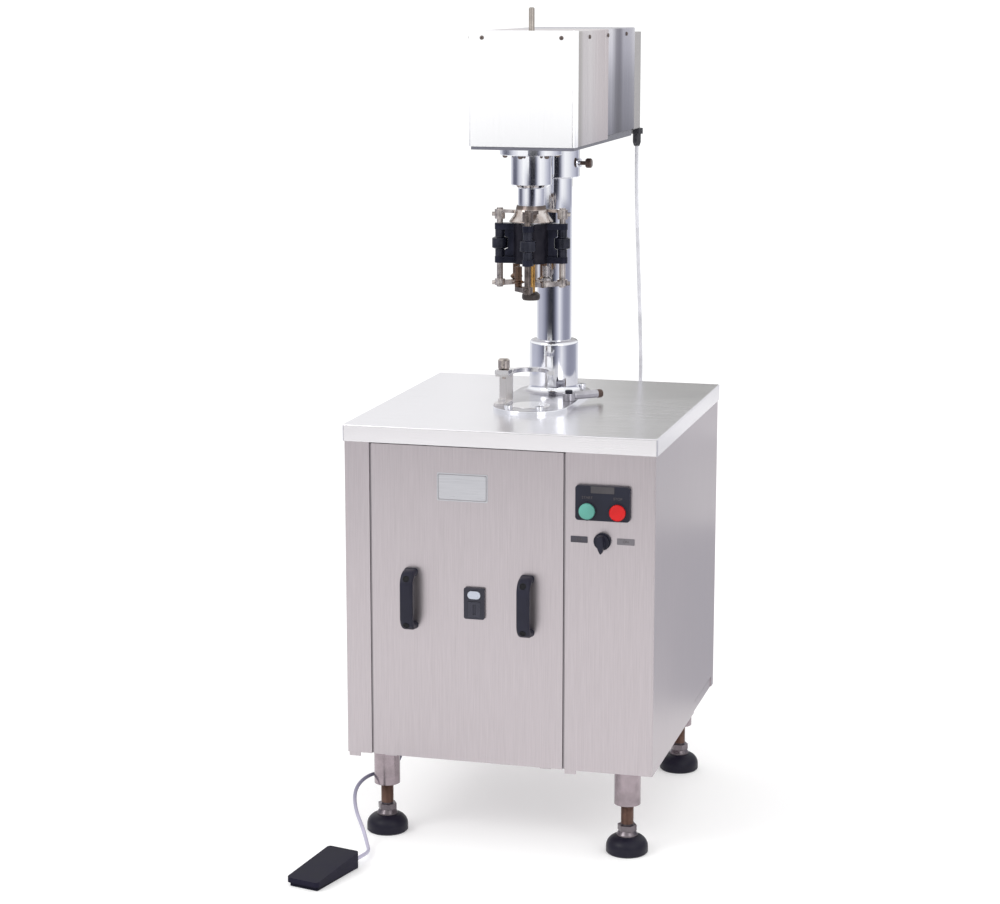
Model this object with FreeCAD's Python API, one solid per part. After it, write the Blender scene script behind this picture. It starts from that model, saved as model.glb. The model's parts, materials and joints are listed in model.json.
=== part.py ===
import FreeCAD, Part
import math
import os

V = FreeCAD.Vector
UP = V(0, 0, 1)
RIGHT = V(1, 0, 0)
BACK = V(0, 1, 0)

# Table and cabinet, heights above the floor
TABLE_WIDTH = 600
TABLE_DEPTH = 640
TABLE_TOP = 810
TABLE_SHEET = 3
TABLE_LIP = 32
TABLE_OVERHANG = 3
TABLE_EDGE_RADIUS = 2.5
BODY_BOTTOM = 172
WALL = 2
FOLD = 18
PANEL_GAP = 4
PANEL_TOP_GAP = 2
FRONT_STRIP_WIDTH = 48
CONTROL_PANEL_WIDTH = 166
SIDE_NOTCH_FROM = 100
SIDE_NOTCH_LENGTH = 195
SIDE_NOTCH_HEIGHT = 22
TAB_WIDTH = 22
TAB_DROP = 8

# Legs and feet
POST_INSET = 62
POST_DIAMETER = 50
POST_WALL = 2
POST_BOTTOM = 97
POST_PLUG = 20
FOOT_SCREW_DIAMETER = 22
FOOT_SCREW_LENGTH = 112
FOOT_NUT_ACROSS = 32
FOOT_NUT_HEIGHT = 11
FOOT_COLLAR_HEIGHT = 10
FOOT_COLLAR_RADIUS = 20
PAD_DIAMETER = 80
PAD_HEIGHT = 34
PAD_RIM = 12

# Spindle and column axes, measured back from the table's centre
SPINDLE_Y = -73
COLUMN_Y = 113

# Plate under the table and its two cross angles
MACHINE_PLATE = 12
MACHINE_PLATE_WIDTH = 270
MACHINE_PLATE_GAP = 1
ANGLE_LEG = 30
ANGLE_THICKNESS = 4

# Column, its base and the head collar
COLUMN_DIAMETER = 70
COLUMN_WALL = 5
COLUMN_OVERRUN = 83
BASE_PLATE_WIDTH = 146
BASE_PLATE_THICKNESS = 8
BASE_PLATE_REACH = 6
BASE_SLEEVE_DIAMETER = 98
BASE_SLEEVE_HEIGHT = 112
BASE_SPIGOT_DIAMETER = 80
BASE_FLARE = 14
BASE_BOLT_RADIUS = 62
BASE_BOLT_HEAD = 16
COLLAR_DIAMETER = 98
COLLAR_LENGTH = 69
COLLAR_FLANGE_DIAMETER = 116
COLLAR_FLANGE_THICKNESS = 12
COLLAR_KNOB_DROP = 40

# Head casing
HEAD_BOTTOM = 1312
HEAD_PLATE = 13
HEAD_WIDTH = 205
HEAD_HEIGHT = 220
HEAD_OVERHANG = 76
FRONT_COVER_DEPTH = 27
COVER_LAP = 6
MIDDLE_CASING_BACK = 135
REAR_COVER_BACK = 380
END_COVER_DEPTH = 77
END_COVER_CORNER = 12
END_COVER_DROP = 11
CASING_INSET = 1
SHEET_CORNER = 6

# Head drive
MOTOR_Y = 255
MOTOR_FIN = 7
MOTOR_BELL = 22
MOTOR_NOSE = 12
MOTOR_NOSE_RADIUS = 24
MOTOR_FLANGE = 10
SHAFT_SEAT = 30
SHAFT_SHORT = 2
MOTOR_DIAMETER = 136
MOTOR_HEIGHT = 130
MOTOR_SHAFT_DIAMETER = 19
SPINDLE_PULLEY_DIAMETER = 96
MOTOR_PULLEY_DIAMETER = 72
PULLEY_DROP = 50
PULLEY_WIDTH = 28
PULLEY_FLANGE = 3
BELT_THICKNESS = 4

# Spindle
HOUSING_FLANGE_DIAMETER = 120
HOUSING_FLANGE_THICKNESS = 12
HOUSING_DIAMETER = 78
HOUSING_LENGTH = 73
BEARING_OUTER = 62
BEARING_WIDTH = 16
SPINDLE_DIAMETER = 30
NECK_DIAMETER = 51
SPINDLE_OVERRUN = 6

# Capping head
CARRIER_DROP = 142
CARRIER_HEIGHT = 76
CARRIER_PLATE = 12
CARRIER_HUB_DIAMETER = 66
PIVOT_CIRCLE = 120
PIVOT_DIAMETER = 12
LUG_RADIUS = 10
HEAD_TURN = 8
ARM_LENGTH = 36
ARM_OPEN_ANGLE = 35.3
ARM_SWING = 24.5
THREAD_BAR_DROP = 43
PILFER_BAR_DROP = 51
ARM_BAR_THICKNESS = 9
ARM_BAR_WIDTH = 14
ARM_SLEEVE_RADIUS = 9
ARM_COLLAR_RADIUS = 15
ARM_COLLAR_HEIGHT = 18
EYE_RADIUS = 10
EYE_PROUD = 3
PINCH_SCREW_RADIUS = 4
PINCH_SCREW_REACH = 15
FOLLOWER_ARM = 29
FOLLOWER_OPEN_ANGLE = 26.2
FOLLOWER_RADIUS = 5
FOLLOWER_RISE = 20
FOLLOWER_THICKNESS = 6
CAM_EYE_HEIGHT = 18
CONE_STROKE = 16
CONE_HEIGHT = 31
CONE_REST = 3
ROLLER_RADIUS = 11.5
ROLLER_PIN_DIAMETER = 6
ROLLER_GAP = 4
ROLLER_HUB_RADIUS = 7
THREAD_DISC = 11
THREAD_DISC_RISE = 0
PILFER_DISC = 6
PILFER_DISC_RISE = 5

# Pressure block and its rod
BLOCK_DIAMETER = 35
BLOCK_DROP = 71
BLOCK_HEIGHT = 15
CAP_SOCKET_DIAMETER = 29.2
CAP_SOCKET_DEPTH = 6
PRESSURE_SHAFT_DIAMETER = 16
PRESSURE_SHAFT_LENGTH = 162
PRESSURE_STROKE = 49
ROD_DIAMETER = 11
ROD_PROUD = 42

# Bottle platform and its lift
PLATFORM_DIAMETER = 76
PLATFORM_THICKNESS = 11
PLATFORM_SINK = 2
LIFT_ROD_DIAMETER = 30
LIFT_FLANGE_DIAMETER = 100
LIFT_FLANGE_THICKNESS = 8
LIFT_BARREL_DIAMETER = 60
LIFT_BARREL_LENGTH = 60
CAM_RISE = 102
CAM_SMALL_RADIUS = 30
LIFT_STROKE = 50
CAM_THICKNESS = 14
FOLLOWER_GAP = 2.5
CAM_SHAFT_DIAMETER = 24
GEARBOX_WIDTH = 100
GEARBOX_DEPTH = 120
GEARBOX_HEIGHT = 170
LIFT_MOTOR_DIAMETER = 110
LIFT_MOTOR_SIDE_GAP = 15
TERMINAL_START = 30
TERMINAL_LENGTH = 70
TERMINAL_WIDTH = 60
TERMINAL_RISE = 22
CAM_SHAFT_GAP = 15
CAM_SHAFT_DEPTH = 18

# Bottle guide
GUIDE_INNER_DIAMETER = 69
GUIDE_RIM = 12
GUIDE_THICKNESS = 8
GUIDE_ARM_WIDTH = 26
GUIDE_TRAVEL = 8
BRACKET_X = -55
BRACKET_FRONT = -100
BRACKET_BACK = -48
BRACKET_THICKNESS = 5
BRACKET_HEIGHT = 68
SHELF_REACH = 30
GUIDE_KNOB_DIAMETER = 23
GUIDE_KNOB_LENGTH = 20
GUIDE_STUD_DIAMETER = 8

# Clamp lever beside the platform
LEVER_X = 58
LEVER_Y = 0
LEVER_HUB_DIAMETER = 24
LEVER_HUB_HEIGHT = 14
LEVER_BAR_DIAMETER = 16
LEVER_LENGTH = 72
LEVER_ANGLE = 41.6

# Controls, measured in from the right side and down from the table
STATION_EDGE = 97
STATION_BELOW_TABLE = 123.5
STATION_WIDTH = 102
STATION_HEIGHT = 65
STATION_PROUD = 8
STATION_BODY_DEPTH = 30
STATION_RIM = 5
BUTTON_SPACING = 57
BUTTON_DROP = 15
BUTTON_DIAMETER = 30
BUTTON_PROUD = 7
BUTTON_TRAVEL = 4
BUTTON_HEAD_SEAT = 2
BUTTON_STEM_DIAMETER = 22
BUTTON_STEM_LENGTH = 14
SELECTOR_EDGE = 98
SELECTOR_BELOW_TABLE = 195
SELECTOR_DIAMETER = 32
SELECTOR_BODY_DIAMETER = 22
SELECTOR_KNOB_PROUD = 19
SELECTOR_GRIP = 11

# Front panel furniture
HANDLE_LEFT_EDGE = 77
HANDLE_RIGHT_EDGE = 68
HANDLE_BELOW_TABLE = 326.5
HANDLE_LENGTH = 115
HANDLE_WIDTH = 28
HANDLE_CORNER = 11
HANDLE_STANDOFF = 38
HANDLE_GRIP = 13
HANDLE_FOOT = 20
LATCH_OFF_CENTRE = 16
LATCH_BELOW_TABLE = 328
LATCH_WIDTH = 40
LATCH_HEIGHT = 60
LATCH_PROUD = 6
LATCH_BODY_DEPTH = 24
PADDLE_WIDTH = 24
PADDLE_HEIGHT = 30
PADDLE_THICKNESS = 6
LATCH_BUTTON_WIDTH = 25
LATCH_BUTTON_HEIGHT = 15

# Foot switch on the floor
SWITCH_X = -274
SWITCH_Y = -534
SWITCH_TURN = -14
SWITCH_WIDTH = 68
SWITCH_LENGTH = 142
SWITCH_HEIGHT = 33
SWITCH_PEDAL = 6.5
SWITCH_TOE = 5.5
PEDAL_GAP = 7
PEDAL_EDGE = 5
PEDAL_WALL = 3
PEDAL_SIDE_GAP = 1
PEDAL_FLOOR_GAP_TOE = 8
PEDAL_FLOOR_GAP_HEEL = 2
PEDAL_HINGE_INSET = 5
PEDAL_HINGE_RADIUS = 3

# Cables and glands
FOOT_CABLE_DIAMETER = 7
MOTOR_CABLE_DIAMETER = 8
GLAND_DIAMETER = 18
GLAND_LENGTH = 14
GLAND_NUT_ACROSS = 22
GLAND_NUT_HEIGHT = 12

# Clearances
RUNNING = 0.05
SLIP = 0.3

# Routes, in the machine's own frame
FOOT_ROUTE = [
    (-229, -190, 158), (-229, -190, 138.5), (-234, -197.5, 120), (-243, -210, 109), (-257, -229, 106.5),
    (-280, -262, 106), (-291, -300, 91), (-280, -330, 62), (-257, -352, 32), (-243, -372, 12),
    (-228, -404, 8), (-227.76, -439.35, 13), (-235.5, -470.4, 13),
]
MOTOR_ROUTE = [
    (94, 446, 1286), (94, 446, 1200), (97, 449, 1100), (101, 452, 990), (105, 454, 880),
    (107, 452, 785), (105, 436, 705), (97, 392, 645), (97, 331, 645),
]

# Derived levels and half sizes
half_width = TABLE_WIDTH / 2 - TABLE_OVERHANG
half_depth = TABLE_DEPTH / 2 - TABLE_OVERHANG
front = -half_depth
under_table = TABLE_TOP - TABLE_SHEET
strip_right = -half_width + FRONT_STRIP_WIDTH
control_left = half_width - WALL - CONTROL_PANEL_WIDTH
panel_left = strip_right + PANEL_GAP
panel_right = control_left - PANEL_GAP
panel_top = TABLE_TOP - TABLE_LIP - PANEL_TOP_GAP
plate_bottom = under_table - MACHINE_PLATE
post_x = TABLE_WIDTH / 2 - POST_INSET
post_y = TABLE_DEPTH / 2 - POST_INSET
POSTS = [(sx * post_x, sy * post_y) for sy in (-1, 1) for sx in (-1, 1)]
head_plate_top = HEAD_BOTTOM + HEAD_PLATE
head_top = HEAD_BOTTOM + HEAD_HEIGHT
head_front = SPINDLE_Y - HEAD_OVERHANG
column_top = HEAD_BOTTOM + COLUMN_OVERRUN
pulley_bottom = head_top - PULLEY_DROP
spindle_top = pulley_bottom + PULLEY_WIDTH + SPINDLE_OVERRUN
carrier_top = HEAD_BOTTOM - CARRIER_DROP
carrier_bottom = carrier_top - CARRIER_HEIGHT
follower_bottom = carrier_top + FOLLOWER_RISE
cone_foot = carrier_top + CONE_REST
cone_top = cone_foot + CONE_HEIGHT
roller_top = carrier_bottom - ROLLER_GAP
block_bottom = carrier_bottom - BLOCK_DROP
block_top = block_bottom + BLOCK_HEIGHT
pressure_shaft_top = block_top + PRESSURE_SHAFT_LENGTH
rod_top = head_top + ROD_PROUD
lift_barrel_bottom = plate_bottom - LIFT_BARREL_LENGTH
cam_height = BODY_BOTTOM + CAM_RISE
machine_plate_back = post_y - POST_DIAMETER / 2 - MACHINE_PLATE_GAP
machine_plate_front = -machine_plate_back
station_x = half_width - STATION_EDGE
station_z = TABLE_TOP - STATION_BELOW_TABLE
selector_x = half_width - SELECTOR_EDGE
selector_z = TABLE_TOP - SELECTOR_BELOW_TABLE
handle_left_x = panel_left + HANDLE_LEFT_EDGE
handle_right_x = panel_right - HANDLE_RIGHT_EDGE
handle_z = TABLE_TOP - HANDLE_BELOW_TABLE
latch_x = (panel_left + panel_right) / 2 + LATCH_OFF_CENTRE
latch_z = TABLE_TOP - LATCH_BELOW_TABLE
cover_bottom = HEAD_BOTTOM + COVER_LAP
casing_half = HEAD_WIDTH / 2 - CASING_INSET
pivot_radius = PIVOT_CIRCLE / 2
ARM_ANGLES = [HEAD_TURN + 90 * k for k in range(4)]


def box(x0, x1, y0, y1, z0, z1):
    return Part.makeBox(x1 - x0, y1 - y0, z1 - z0, V(x0, y0, z0))


def cylinder(radius, z0, z1, x=0, y=0):
    return Part.makeCylinder(radius, z1 - z0, V(x, y, z0), UP)


def ring(outer, inner, z0, z1, x=0, y=0):
    return cylinder(outer, z0, z1, x, y).cut(cylinder(inner, z0, z1, x, y))


def rod_along(radius, start, direction, length):
    return Part.makeCylinder(radius, length, V(*start), direction)


def turned(profile, x=0, y=0):
    """Solid of revolution from (radius, height) points about a vertical axis."""
    points = [V(r, 0, z) for r, z in profile]
    face = Part.Face(Part.makePolygon(points + points[:1]))
    solid = face.revolve(V(0, 0, 0), UP, 360)
    solid.translate(V(x, y, 0))
    return solid


def turned_along(profile, start, direction):
    """Solid of revolution whose heights run from start along direction."""
    solid = turned(profile)
    solid.Placement = FreeCAD.Placement(V(*start), FreeCAD.Rotation(UP, direction))
    return solid


def fused(first, *others):
    return first.multiFuse(list(others)).removeSplitter()


def upright_edges(solid):
    """Straight edges of a solid that run parallel to Z."""
    found = []
    for edge in solid.Edges:
        ends = [v.Point for v in edge.Vertexes]
        if len(ends) == 2 and math.hypot(ends[0].x - ends[1].x, ends[0].y - ends[1].y) < 1e-6:
            found.append(edge)
    return found


def edges_along(solid, axis):
    """Straight edges of a solid that run parallel to axis."""
    found = []
    for edge in solid.Edges:
        if len(edge.Vertexes) == 2 and isinstance(edge.Curve, Part.Line):
            if edge.tangentAt(edge.FirstParameter).cross(axis).Length < 1e-6:
                found.append(edge)
    return found


def rounded_box(x0, x1, y0, y1, z0, z1, radius):
    solid = box(x0, x1, y0, y1, z0, z1)
    return solid.makeFillet(radius, upright_edges(solid))


def plate_facing_front(width, height, depth, corner, x, y_face, z):
    """Rounded plate centred at x, z whose visible face lies at y_face."""
    solid = box(x - width / 2, x + width / 2, y_face, y_face + depth, z - height / 2, z + height / 2)
    return solid.makeFillet(corner, edges_along(solid, BACK))


def turn_about(solid, angle, x, y):
    copy = solid.copy()
    copy.rotate(V(x, y, 0), UP, angle)
    return copy


def hexagon(across, z0, z1, x=0, y=0):
    radius = across / math.sqrt(3)
    corners = [
        V(x + radius * math.cos(math.radians(60 * k)), y + radius * math.sin(math.radians(60 * k)), z0)
        for k in range(6)
    ]
    face = Part.Face(Part.makePolygon(corners + corners[:1]))
    return face.extrude(V(0, 0, z1 - z0))


def folded_tray(x0, x1, y_face, z0, z1, depth):
    """Sheet panel facing the front with its four edges folded back."""
    outer = box(x0, x1, y_face, y_face + depth, z0, z1)
    inner = box(x0 + WALL, x1 - WALL, y_face + WALL, y_face + depth, z0 + WALL, z1 - WALL)
    return outer.cut(inner)


def compound(solids):
    return Part.makeCompound(solids)


# Cabinet frame and feet
def corner_posts():
    outer = POST_DIAMETER / 2
    bore = FOOT_SCREW_DIAMETER / 2 + RUNNING
    plug_top = POST_BOTTOM + POST_PLUG
    profile = [
        (bore, POST_BOTTOM), (outer, POST_BOTTOM), (outer, under_table),
        (outer - POST_WALL, under_table), (outer - POST_WALL, plug_top), (bore, plug_top),
    ]
    return compound([turned(profile, x, y) for x, y in POSTS])


def levelling_screws():
    """Threaded feet, each with a swivel collar and its nut just above the pad."""
    radius = FOOT_SCREW_DIAMETER / 2
    collar_top = PAD_HEIGHT + FOOT_COLLAR_HEIGHT
    tip = PAD_HEIGHT + FOOT_SCREW_LENGTH
    profile = [
        (0, PAD_HEIGHT), (FOOT_COLLAR_RADIUS, PAD_HEIGHT), (FOOT_COLLAR_RADIUS, PAD_HEIGHT + 3),
        (FOOT_NUT_ACROSS / 2, collar_top), (radius, collar_top), (radius, tip - 1), (radius - 1, tip),
        (0, tip),
    ]
    screws = []
    for x, y in POSTS:
        nut = hexagon(FOOT_NUT_ACROSS, collar_top, collar_top + FOOT_NUT_HEIGHT, x, y)
        screws.append(fused(turned(profile, x, y), nut))
    return compound(screws)


def foot_pads():
    radius = PAD_DIAMETER / 2
    neck = FOOT_COLLAR_RADIUS + 1
    shoulder = V(radius * 0.86, 0, PAD_HEIGHT * 0.79)
    pads = []
    for x, y in POSTS:
        bell = Part.Wire([
            Part.LineSegment(V(0, 0, 0), V(radius - 3, 0, 0)).toShape(),
            Part.LineSegment(V(radius - 3, 0, 0), V(radius, 0, 3)).toShape(),
            Part.LineSegment(V(radius, 0, 3), V(radius, 0, PAD_RIM)).toShape(),
            Part.Arc(V(radius, 0, PAD_RIM), shoulder, V(neck, 0, PAD_HEIGHT)).toShape(),
            Part.LineSegment(V(neck, 0, PAD_HEIGHT), V(0, 0, PAD_HEIGHT)).toShape(),
            Part.LineSegment(V(0, 0, PAD_HEIGHT), V(0, 0, 0)).toShape(),
        ])
        pad = Part.Face(bell).revolve(V(0, 0, 0), UP, 360)
        pad.translate(V(x, y, 0))
        pads.append(pad)
    return compound(pads)


# Cabinet sheet metal
def bottom_plate():
    x1 = half_width - WALL
    y0 = front + FOLD + PANEL_TOP_GAP
    y1 = half_depth - 2 * WALL
    outer = box(-x1, x1, y0, y1, BODY_BOTTOM, BODY_BOTTOM + FOLD)
    inner = box(-x1 + WALL, x1 - WALL, y0 + WALL, y1 - WALL, BODY_BOTTOM + WALL, BODY_BOTTOM + FOLD)
    plate = outer.cut(inner)
    for x, y in POSTS:
        plate = plate.cut(cylinder(POST_DIAMETER / 2 + SLIP, BODY_BOTTOM, BODY_BOTTOM + FOLD, x, y))
    gland_x, gland_y, gland_z = FOOT_ROUTE[0]
    plate = plate.cut(cylinder(GLAND_DIAMETER / 2 - 2, BODY_BOTTOM, BODY_BOTTOM + WALL, gland_x, gland_y))
    lugs = [
        box(x, x + TAB_WIDTH, front + WALL, y0 + FOLD, BODY_BOTTOM - WALL, BODY_BOTTOM)
        for x in (panel_left + TAB_WIDTH, panel_right - 2 * TAB_WIDTH)
    ]
    return fused(plate, *lugs)


def side_wall(outer_x, inner_x):
    x0, x1 = sorted((outer_x, inner_x))
    wall = box(x0, x1, front, half_depth, BODY_BOTTOM, under_table)
    notch_end = SIDE_NOTCH_FROM + SIDE_NOTCH_LENGTH
    return wall.cut(box(x0, x1, SIDE_NOTCH_FROM, notch_end, BODY_BOTTOM, BODY_BOTTOM + SIDE_NOTCH_HEIGHT))


def back_fold(x0, x1):
    """Flange that the back panel lies on."""
    return box(x0, x1, half_depth - 2 * WALL, half_depth - WALL, BODY_BOTTOM, under_table)


def left_side_panel():
    wall = side_wall(-half_width, -half_width + WALL)
    strip = box(-half_width, strip_right, front, front + WALL, BODY_BOTTOM, under_table)
    fold = box(strip_right - WALL, strip_right, front, front + FOLD, BODY_BOTTOM, under_table)
    back = back_fold(-half_width, -half_width + FOLD)
    tab = box(
        -half_width + WALL, -half_width + WALL + TAB_WIDTH, front + WALL, front + 2 * WALL,
        BODY_BOTTOM - TAB_DROP, BODY_BOTTOM + TAB_DROP,
    )
    return fused(wall, strip, fold, back, tab)


def right_side_panel():
    wall = side_wall(half_width, half_width - WALL)
    back = back_fold(half_width - FOLD, half_width)
    return fused(wall, back)


def back_panel():
    x1 = half_width - WALL
    panel = box(-x1, x1, half_depth - WALL, half_depth, BODY_BOTTOM, under_table)
    for x, y, z in (MOTOR_ROUTE[-1], (-x1 + POST_INSET, 0, BODY_BOTTOM + POST_INSET)):
        panel = panel.cut(rod_along(GLAND_DIAMETER / 2 - 2, (x, half_depth - WALL, z), BACK, WALL))
    return panel


def control_panel():
    x1 = half_width - WALL
    panel = folded_tray(control_left, x1, front, BODY_BOTTOM, under_table, FOLD)
    margin = STATION_RIM - SLIP
    station = box(
        station_x - STATION_WIDTH / 2 + margin, station_x + STATION_WIDTH / 2 - margin, front, front + WALL,
        station_z - STATION_HEIGHT / 2 + margin, station_z + STATION_HEIGHT / 2 - margin,
    )
    bore = rod_along(SELECTOR_BODY_DIAMETER / 2 + SLIP, (selector_x, front, selector_z), BACK, WALL)
    tab = box(
        control_left, control_left + TAB_WIDTH, front + WALL, front + 2 * WALL,
        BODY_BOTTOM - TAB_DROP, BODY_BOTTOM + WALL,
    )
    return fused(panel.cut(station).cut(bore), tab)


def front_panel():
    panel = folded_tray(panel_left, panel_right, front, BODY_BOTTOM, panel_top, FOLD)
    hole_w = LATCH_WIDTH / 2 - 5
    hole_h = LATCH_HEIGHT / 2 - 5
    hole = box(latch_x - hole_w, latch_x + hole_w, front, front + WALL, latch_z - hole_h, latch_z + hole_h)
    return panel.cut(hole)


def table_top():
    x1 = TABLE_WIDTH / 2
    y1 = TABLE_DEPTH / 2
    bottom = TABLE_TOP - TABLE_LIP
    outer = box(-x1, x1, -y1, y1, bottom, TABLE_TOP)
    rims = [e for e in outer.Edges if min(v.Z for v in e.Vertexes) > TABLE_TOP - 1e-6]
    outer = outer.makeFillet(TABLE_EDGE_RADIUS, rims + upright_edges(outer))
    inner = box(
        -x1 + TABLE_SHEET, x1 - TABLE_SHEET, -y1 + TABLE_SHEET, y1 - TABLE_SHEET, bottom, under_table
    )
    table = outer.cut(inner)
    table = table.cut(cylinder(BASE_SPIGOT_DIAMETER / 2 + SLIP, bottom, TABLE_TOP, 0, COLUMN_Y))
    return table.cut(cylinder(PLATFORM_DIAMETER / 2 + 2 * SLIP, bottom, TABLE_TOP, 0, SPINDLE_Y))


def machine_plate():
    x1 = MACHINE_PLATE_WIDTH / 2
    plate = rounded_box(-x1, x1, machine_plate_front, machine_plate_back, plate_bottom, under_table, 10)
    plate = plate.cut(cylinder(BASE_SPIGOT_DIAMETER / 2 + SLIP, plate_bottom, under_table, 0, COLUMN_Y))
    plate = plate.cut(cylinder(LIFT_BARREL_DIAMETER / 2 + SLIP, plate_bottom, under_table, 0, SPINDLE_Y))
    rail_x = half_width - WALL
    rails = []
    for y0 in (machine_plate_front, machine_plate_back - ANGLE_LEG):
        rails.append(box(-rail_x, rail_x, y0, y0 + ANGLE_LEG, plate_bottom - ANGLE_THICKNESS, plate_bottom))
        rails.append(box(-rail_x, rail_x, y0, y0 + ANGLE_THICKNESS, plate_bottom - ANGLE_LEG, plate_bottom))
    return fused(plate, *rails)


# Front panel furniture
def bow_handle(x):
    """Black bow handle: rounded corners in front view and an arch in side view."""
    z0 = handle_z - HANDLE_LENGTH / 2
    z1 = handle_z + HANDLE_LENGTH / 2
    y0 = front - HANDLE_STANDOFF
    bow = box(x - HANDLE_WIDTH / 2, x + HANDLE_WIDTH / 2, y0, front, z0, z1)
    corners = [e for e in edges_along(bow, RIGHT) if e.Vertexes[0].Y < y0 + 1e-6]
    bow = bow.makeFillet(HANDLE_GRIP, corners)
    outer_face = [e for e in edges_along(bow, UP) if e.Vertexes[0].Y < y0 + 1e-6]
    bow = bow.makeFillet(HANDLE_GRIP / 4, outer_face)
    outline = box(x - HANDLE_WIDTH / 2, x + HANDLE_WIDTH / 2, y0, front, z0, z1)
    bow = bow.common(outline.makeFillet(HANDLE_CORNER, edges_along(outline, BACK)))
    gap = box(
        x - HANDLE_WIDTH / 2, x + HANDLE_WIDTH / 2, y0 + HANDLE_GRIP, front,
        z0 + HANDLE_FOOT, z1 - HANDLE_FOOT,
    )
    inner = [e for e in edges_along(gap, RIGHT) if e.Vertexes[0].Y < front - 1e-6]
    return bow.cut(gap.makeFillet(HANDLE_GRIP - 3, inner))


def panel_handles():
    return compound([bow_handle(handle_left_x), bow_handle(handle_right_x)])


paddle_bottom = latch_z - LATCH_HEIGHT / 2 + 4
latch_button_z = latch_z + LATCH_HEIGHT / 2 - 6 - LATCH_BUTTON_HEIGHT / 2


def latch_body():
    flange = plate_facing_front(
        LATCH_WIDTH, LATCH_HEIGHT, LATCH_PROUD, 4, latch_x, front - LATCH_PROUD, latch_z
    )
    inset = 5 + SLIP
    rear = box(
        latch_x - LATCH_WIDTH / 2 + inset, latch_x + LATCH_WIDTH / 2 - inset, front, front + LATCH_BODY_DEPTH,
        latch_z - LATCH_HEIGHT / 2 + inset, latch_z + LATCH_HEIGHT / 2 - inset,
    )
    pocket = box(
        latch_x - PADDLE_WIDTH / 2 - SLIP, latch_x + PADDLE_WIDTH / 2 + SLIP,
        front - LATCH_PROUD, front + WALL, paddle_bottom - SLIP, paddle_bottom + PADDLE_HEIGHT + SLIP,
    )
    button_hole = plate_facing_front(
        LATCH_BUTTON_WIDTH + 2 * SLIP, LATCH_BUTTON_HEIGHT + 2 * SLIP, LATCH_PROUD + 2 * WALL,
        LATCH_BUTTON_HEIGHT / 2, latch_x, front - LATCH_PROUD, latch_button_z,
    )
    return fused(flange, rear).cut(pocket).cut(button_hole)


def latch_paddle():
    paddle = box(
        latch_x - PADDLE_WIDTH / 2, latch_x + PADDLE_WIDTH / 2,
        front - LATCH_PROUD, front - LATCH_PROUD + PADDLE_THICKNESS,
        paddle_bottom, paddle_bottom + PADDLE_HEIGHT,
    )
    top = [e for e in edges_along(paddle, RIGHT) if e.Vertexes[0].Z > paddle_bottom + 1]
    paddle = paddle.makeFillet(PADDLE_THICKNESS / 2 - 0.1, top)
    groove = rod_along(3, (latch_x, front - LATCH_PROUD - 1, paddle_bottom + 4), UP, PADDLE_HEIGHT - 10)
    return paddle.cut(groove)


def latch_button():
    return plate_facing_front(
        LATCH_BUTTON_WIDTH, LATCH_BUTTON_HEIGHT, LATCH_PROUD + 2, LATCH_BUTTON_HEIGHT / 2 - 0.1,
        latch_x, front - LATCH_PROUD - 1.5, latch_button_z,
    )


# Controls
def button_station():
    y_face = front - STATION_PROUD
    plate = plate_facing_front(STATION_WIDTH, STATION_HEIGHT, STATION_PROUD, 6, station_x, y_face, station_z)
    body = box(
        station_x - STATION_WIDTH / 2 + STATION_RIM, station_x + STATION_WIDTH / 2 - STATION_RIM,
        front, front + STATION_BODY_DEPTH,
        station_z - STATION_HEIGHT / 2 + STATION_RIM, station_z + STATION_HEIGHT / 2 - STATION_RIM,
    )
    station = fused(plate, body)
    stem_depth = BUTTON_HEAD_SEAT + BUTTON_STEM_LENGTH + BUTTON_TRAVEL + SLIP
    for side in (-1, 1):
        centre = (station_x + side * BUTTON_SPACING / 2, y_face, station_z - BUTTON_DROP)
        seat = rod_along(BUTTON_DIAMETER / 2 + SLIP, centre, BACK, BUTTON_HEAD_SEAT + BUTTON_TRAVEL + SLIP)
        stem = rod_along(BUTTON_STEM_DIAMETER / 2 + SLIP, centre, BACK, stem_depth)
        station = station.cut(seat).cut(stem)
    bezel = rod_along(SELECTOR_DIAMETER / 2, (selector_x, front - 5, selector_z), BACK, 5)
    block = rod_along(SELECTOR_BODY_DIAMETER / 2, (selector_x, front, selector_z), BACK, STATION_BODY_DEPTH)
    return compound([station, fused(bezel, block)])


def push_button(side):
    """Round head in a counterbore of the station, with its stem behind."""
    radius = BUTTON_DIAMETER / 2
    stem = BUTTON_STEM_DIAMETER / 2
    length = BUTTON_STEM_LENGTH + BUTTON_HEAD_SEAT + BUTTON_PROUD
    profile = [
        (0, 0), (stem, 0), (stem, BUTTON_STEM_LENGTH), (radius, BUTTON_STEM_LENGTH), (radius, length - 2),
        (radius - 2, length), (0, length),
    ]
    rear = front - STATION_PROUD + BUTTON_HEAD_SEAT + BUTTON_STEM_LENGTH
    start = (station_x + side * BUTTON_SPACING / 2, rear, station_z - BUTTON_DROP)
    return turned_along(profile, start, V(0, -1, 0))


def selector_knob():
    radius = SELECTOR_DIAMETER / 2 - 2
    y_back = front - 5 - SLIP
    disc = rod_along(radius, (selector_x, y_back - 6, selector_z), BACK, 6)
    grip = box(
        selector_x - SELECTOR_GRIP / 2, selector_x + SELECTOR_GRIP / 2,
        y_back - SELECTOR_KNOB_PROUD, y_back - 5,
        selector_z - radius, selector_z + radius,
    )
    grip = grip.makeFillet(2, edges_along(grip, BACK))
    knob = fused(disc, grip)
    knob.rotate(V(selector_x, 0, selector_z), BACK, 45)
    return knob


# Column and collar
def column():
    radius = COLUMN_DIAMETER / 2
    return ring(radius, radius - COLUMN_WALL, plate_bottom, column_top, 0, COLUMN_Y)


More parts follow.
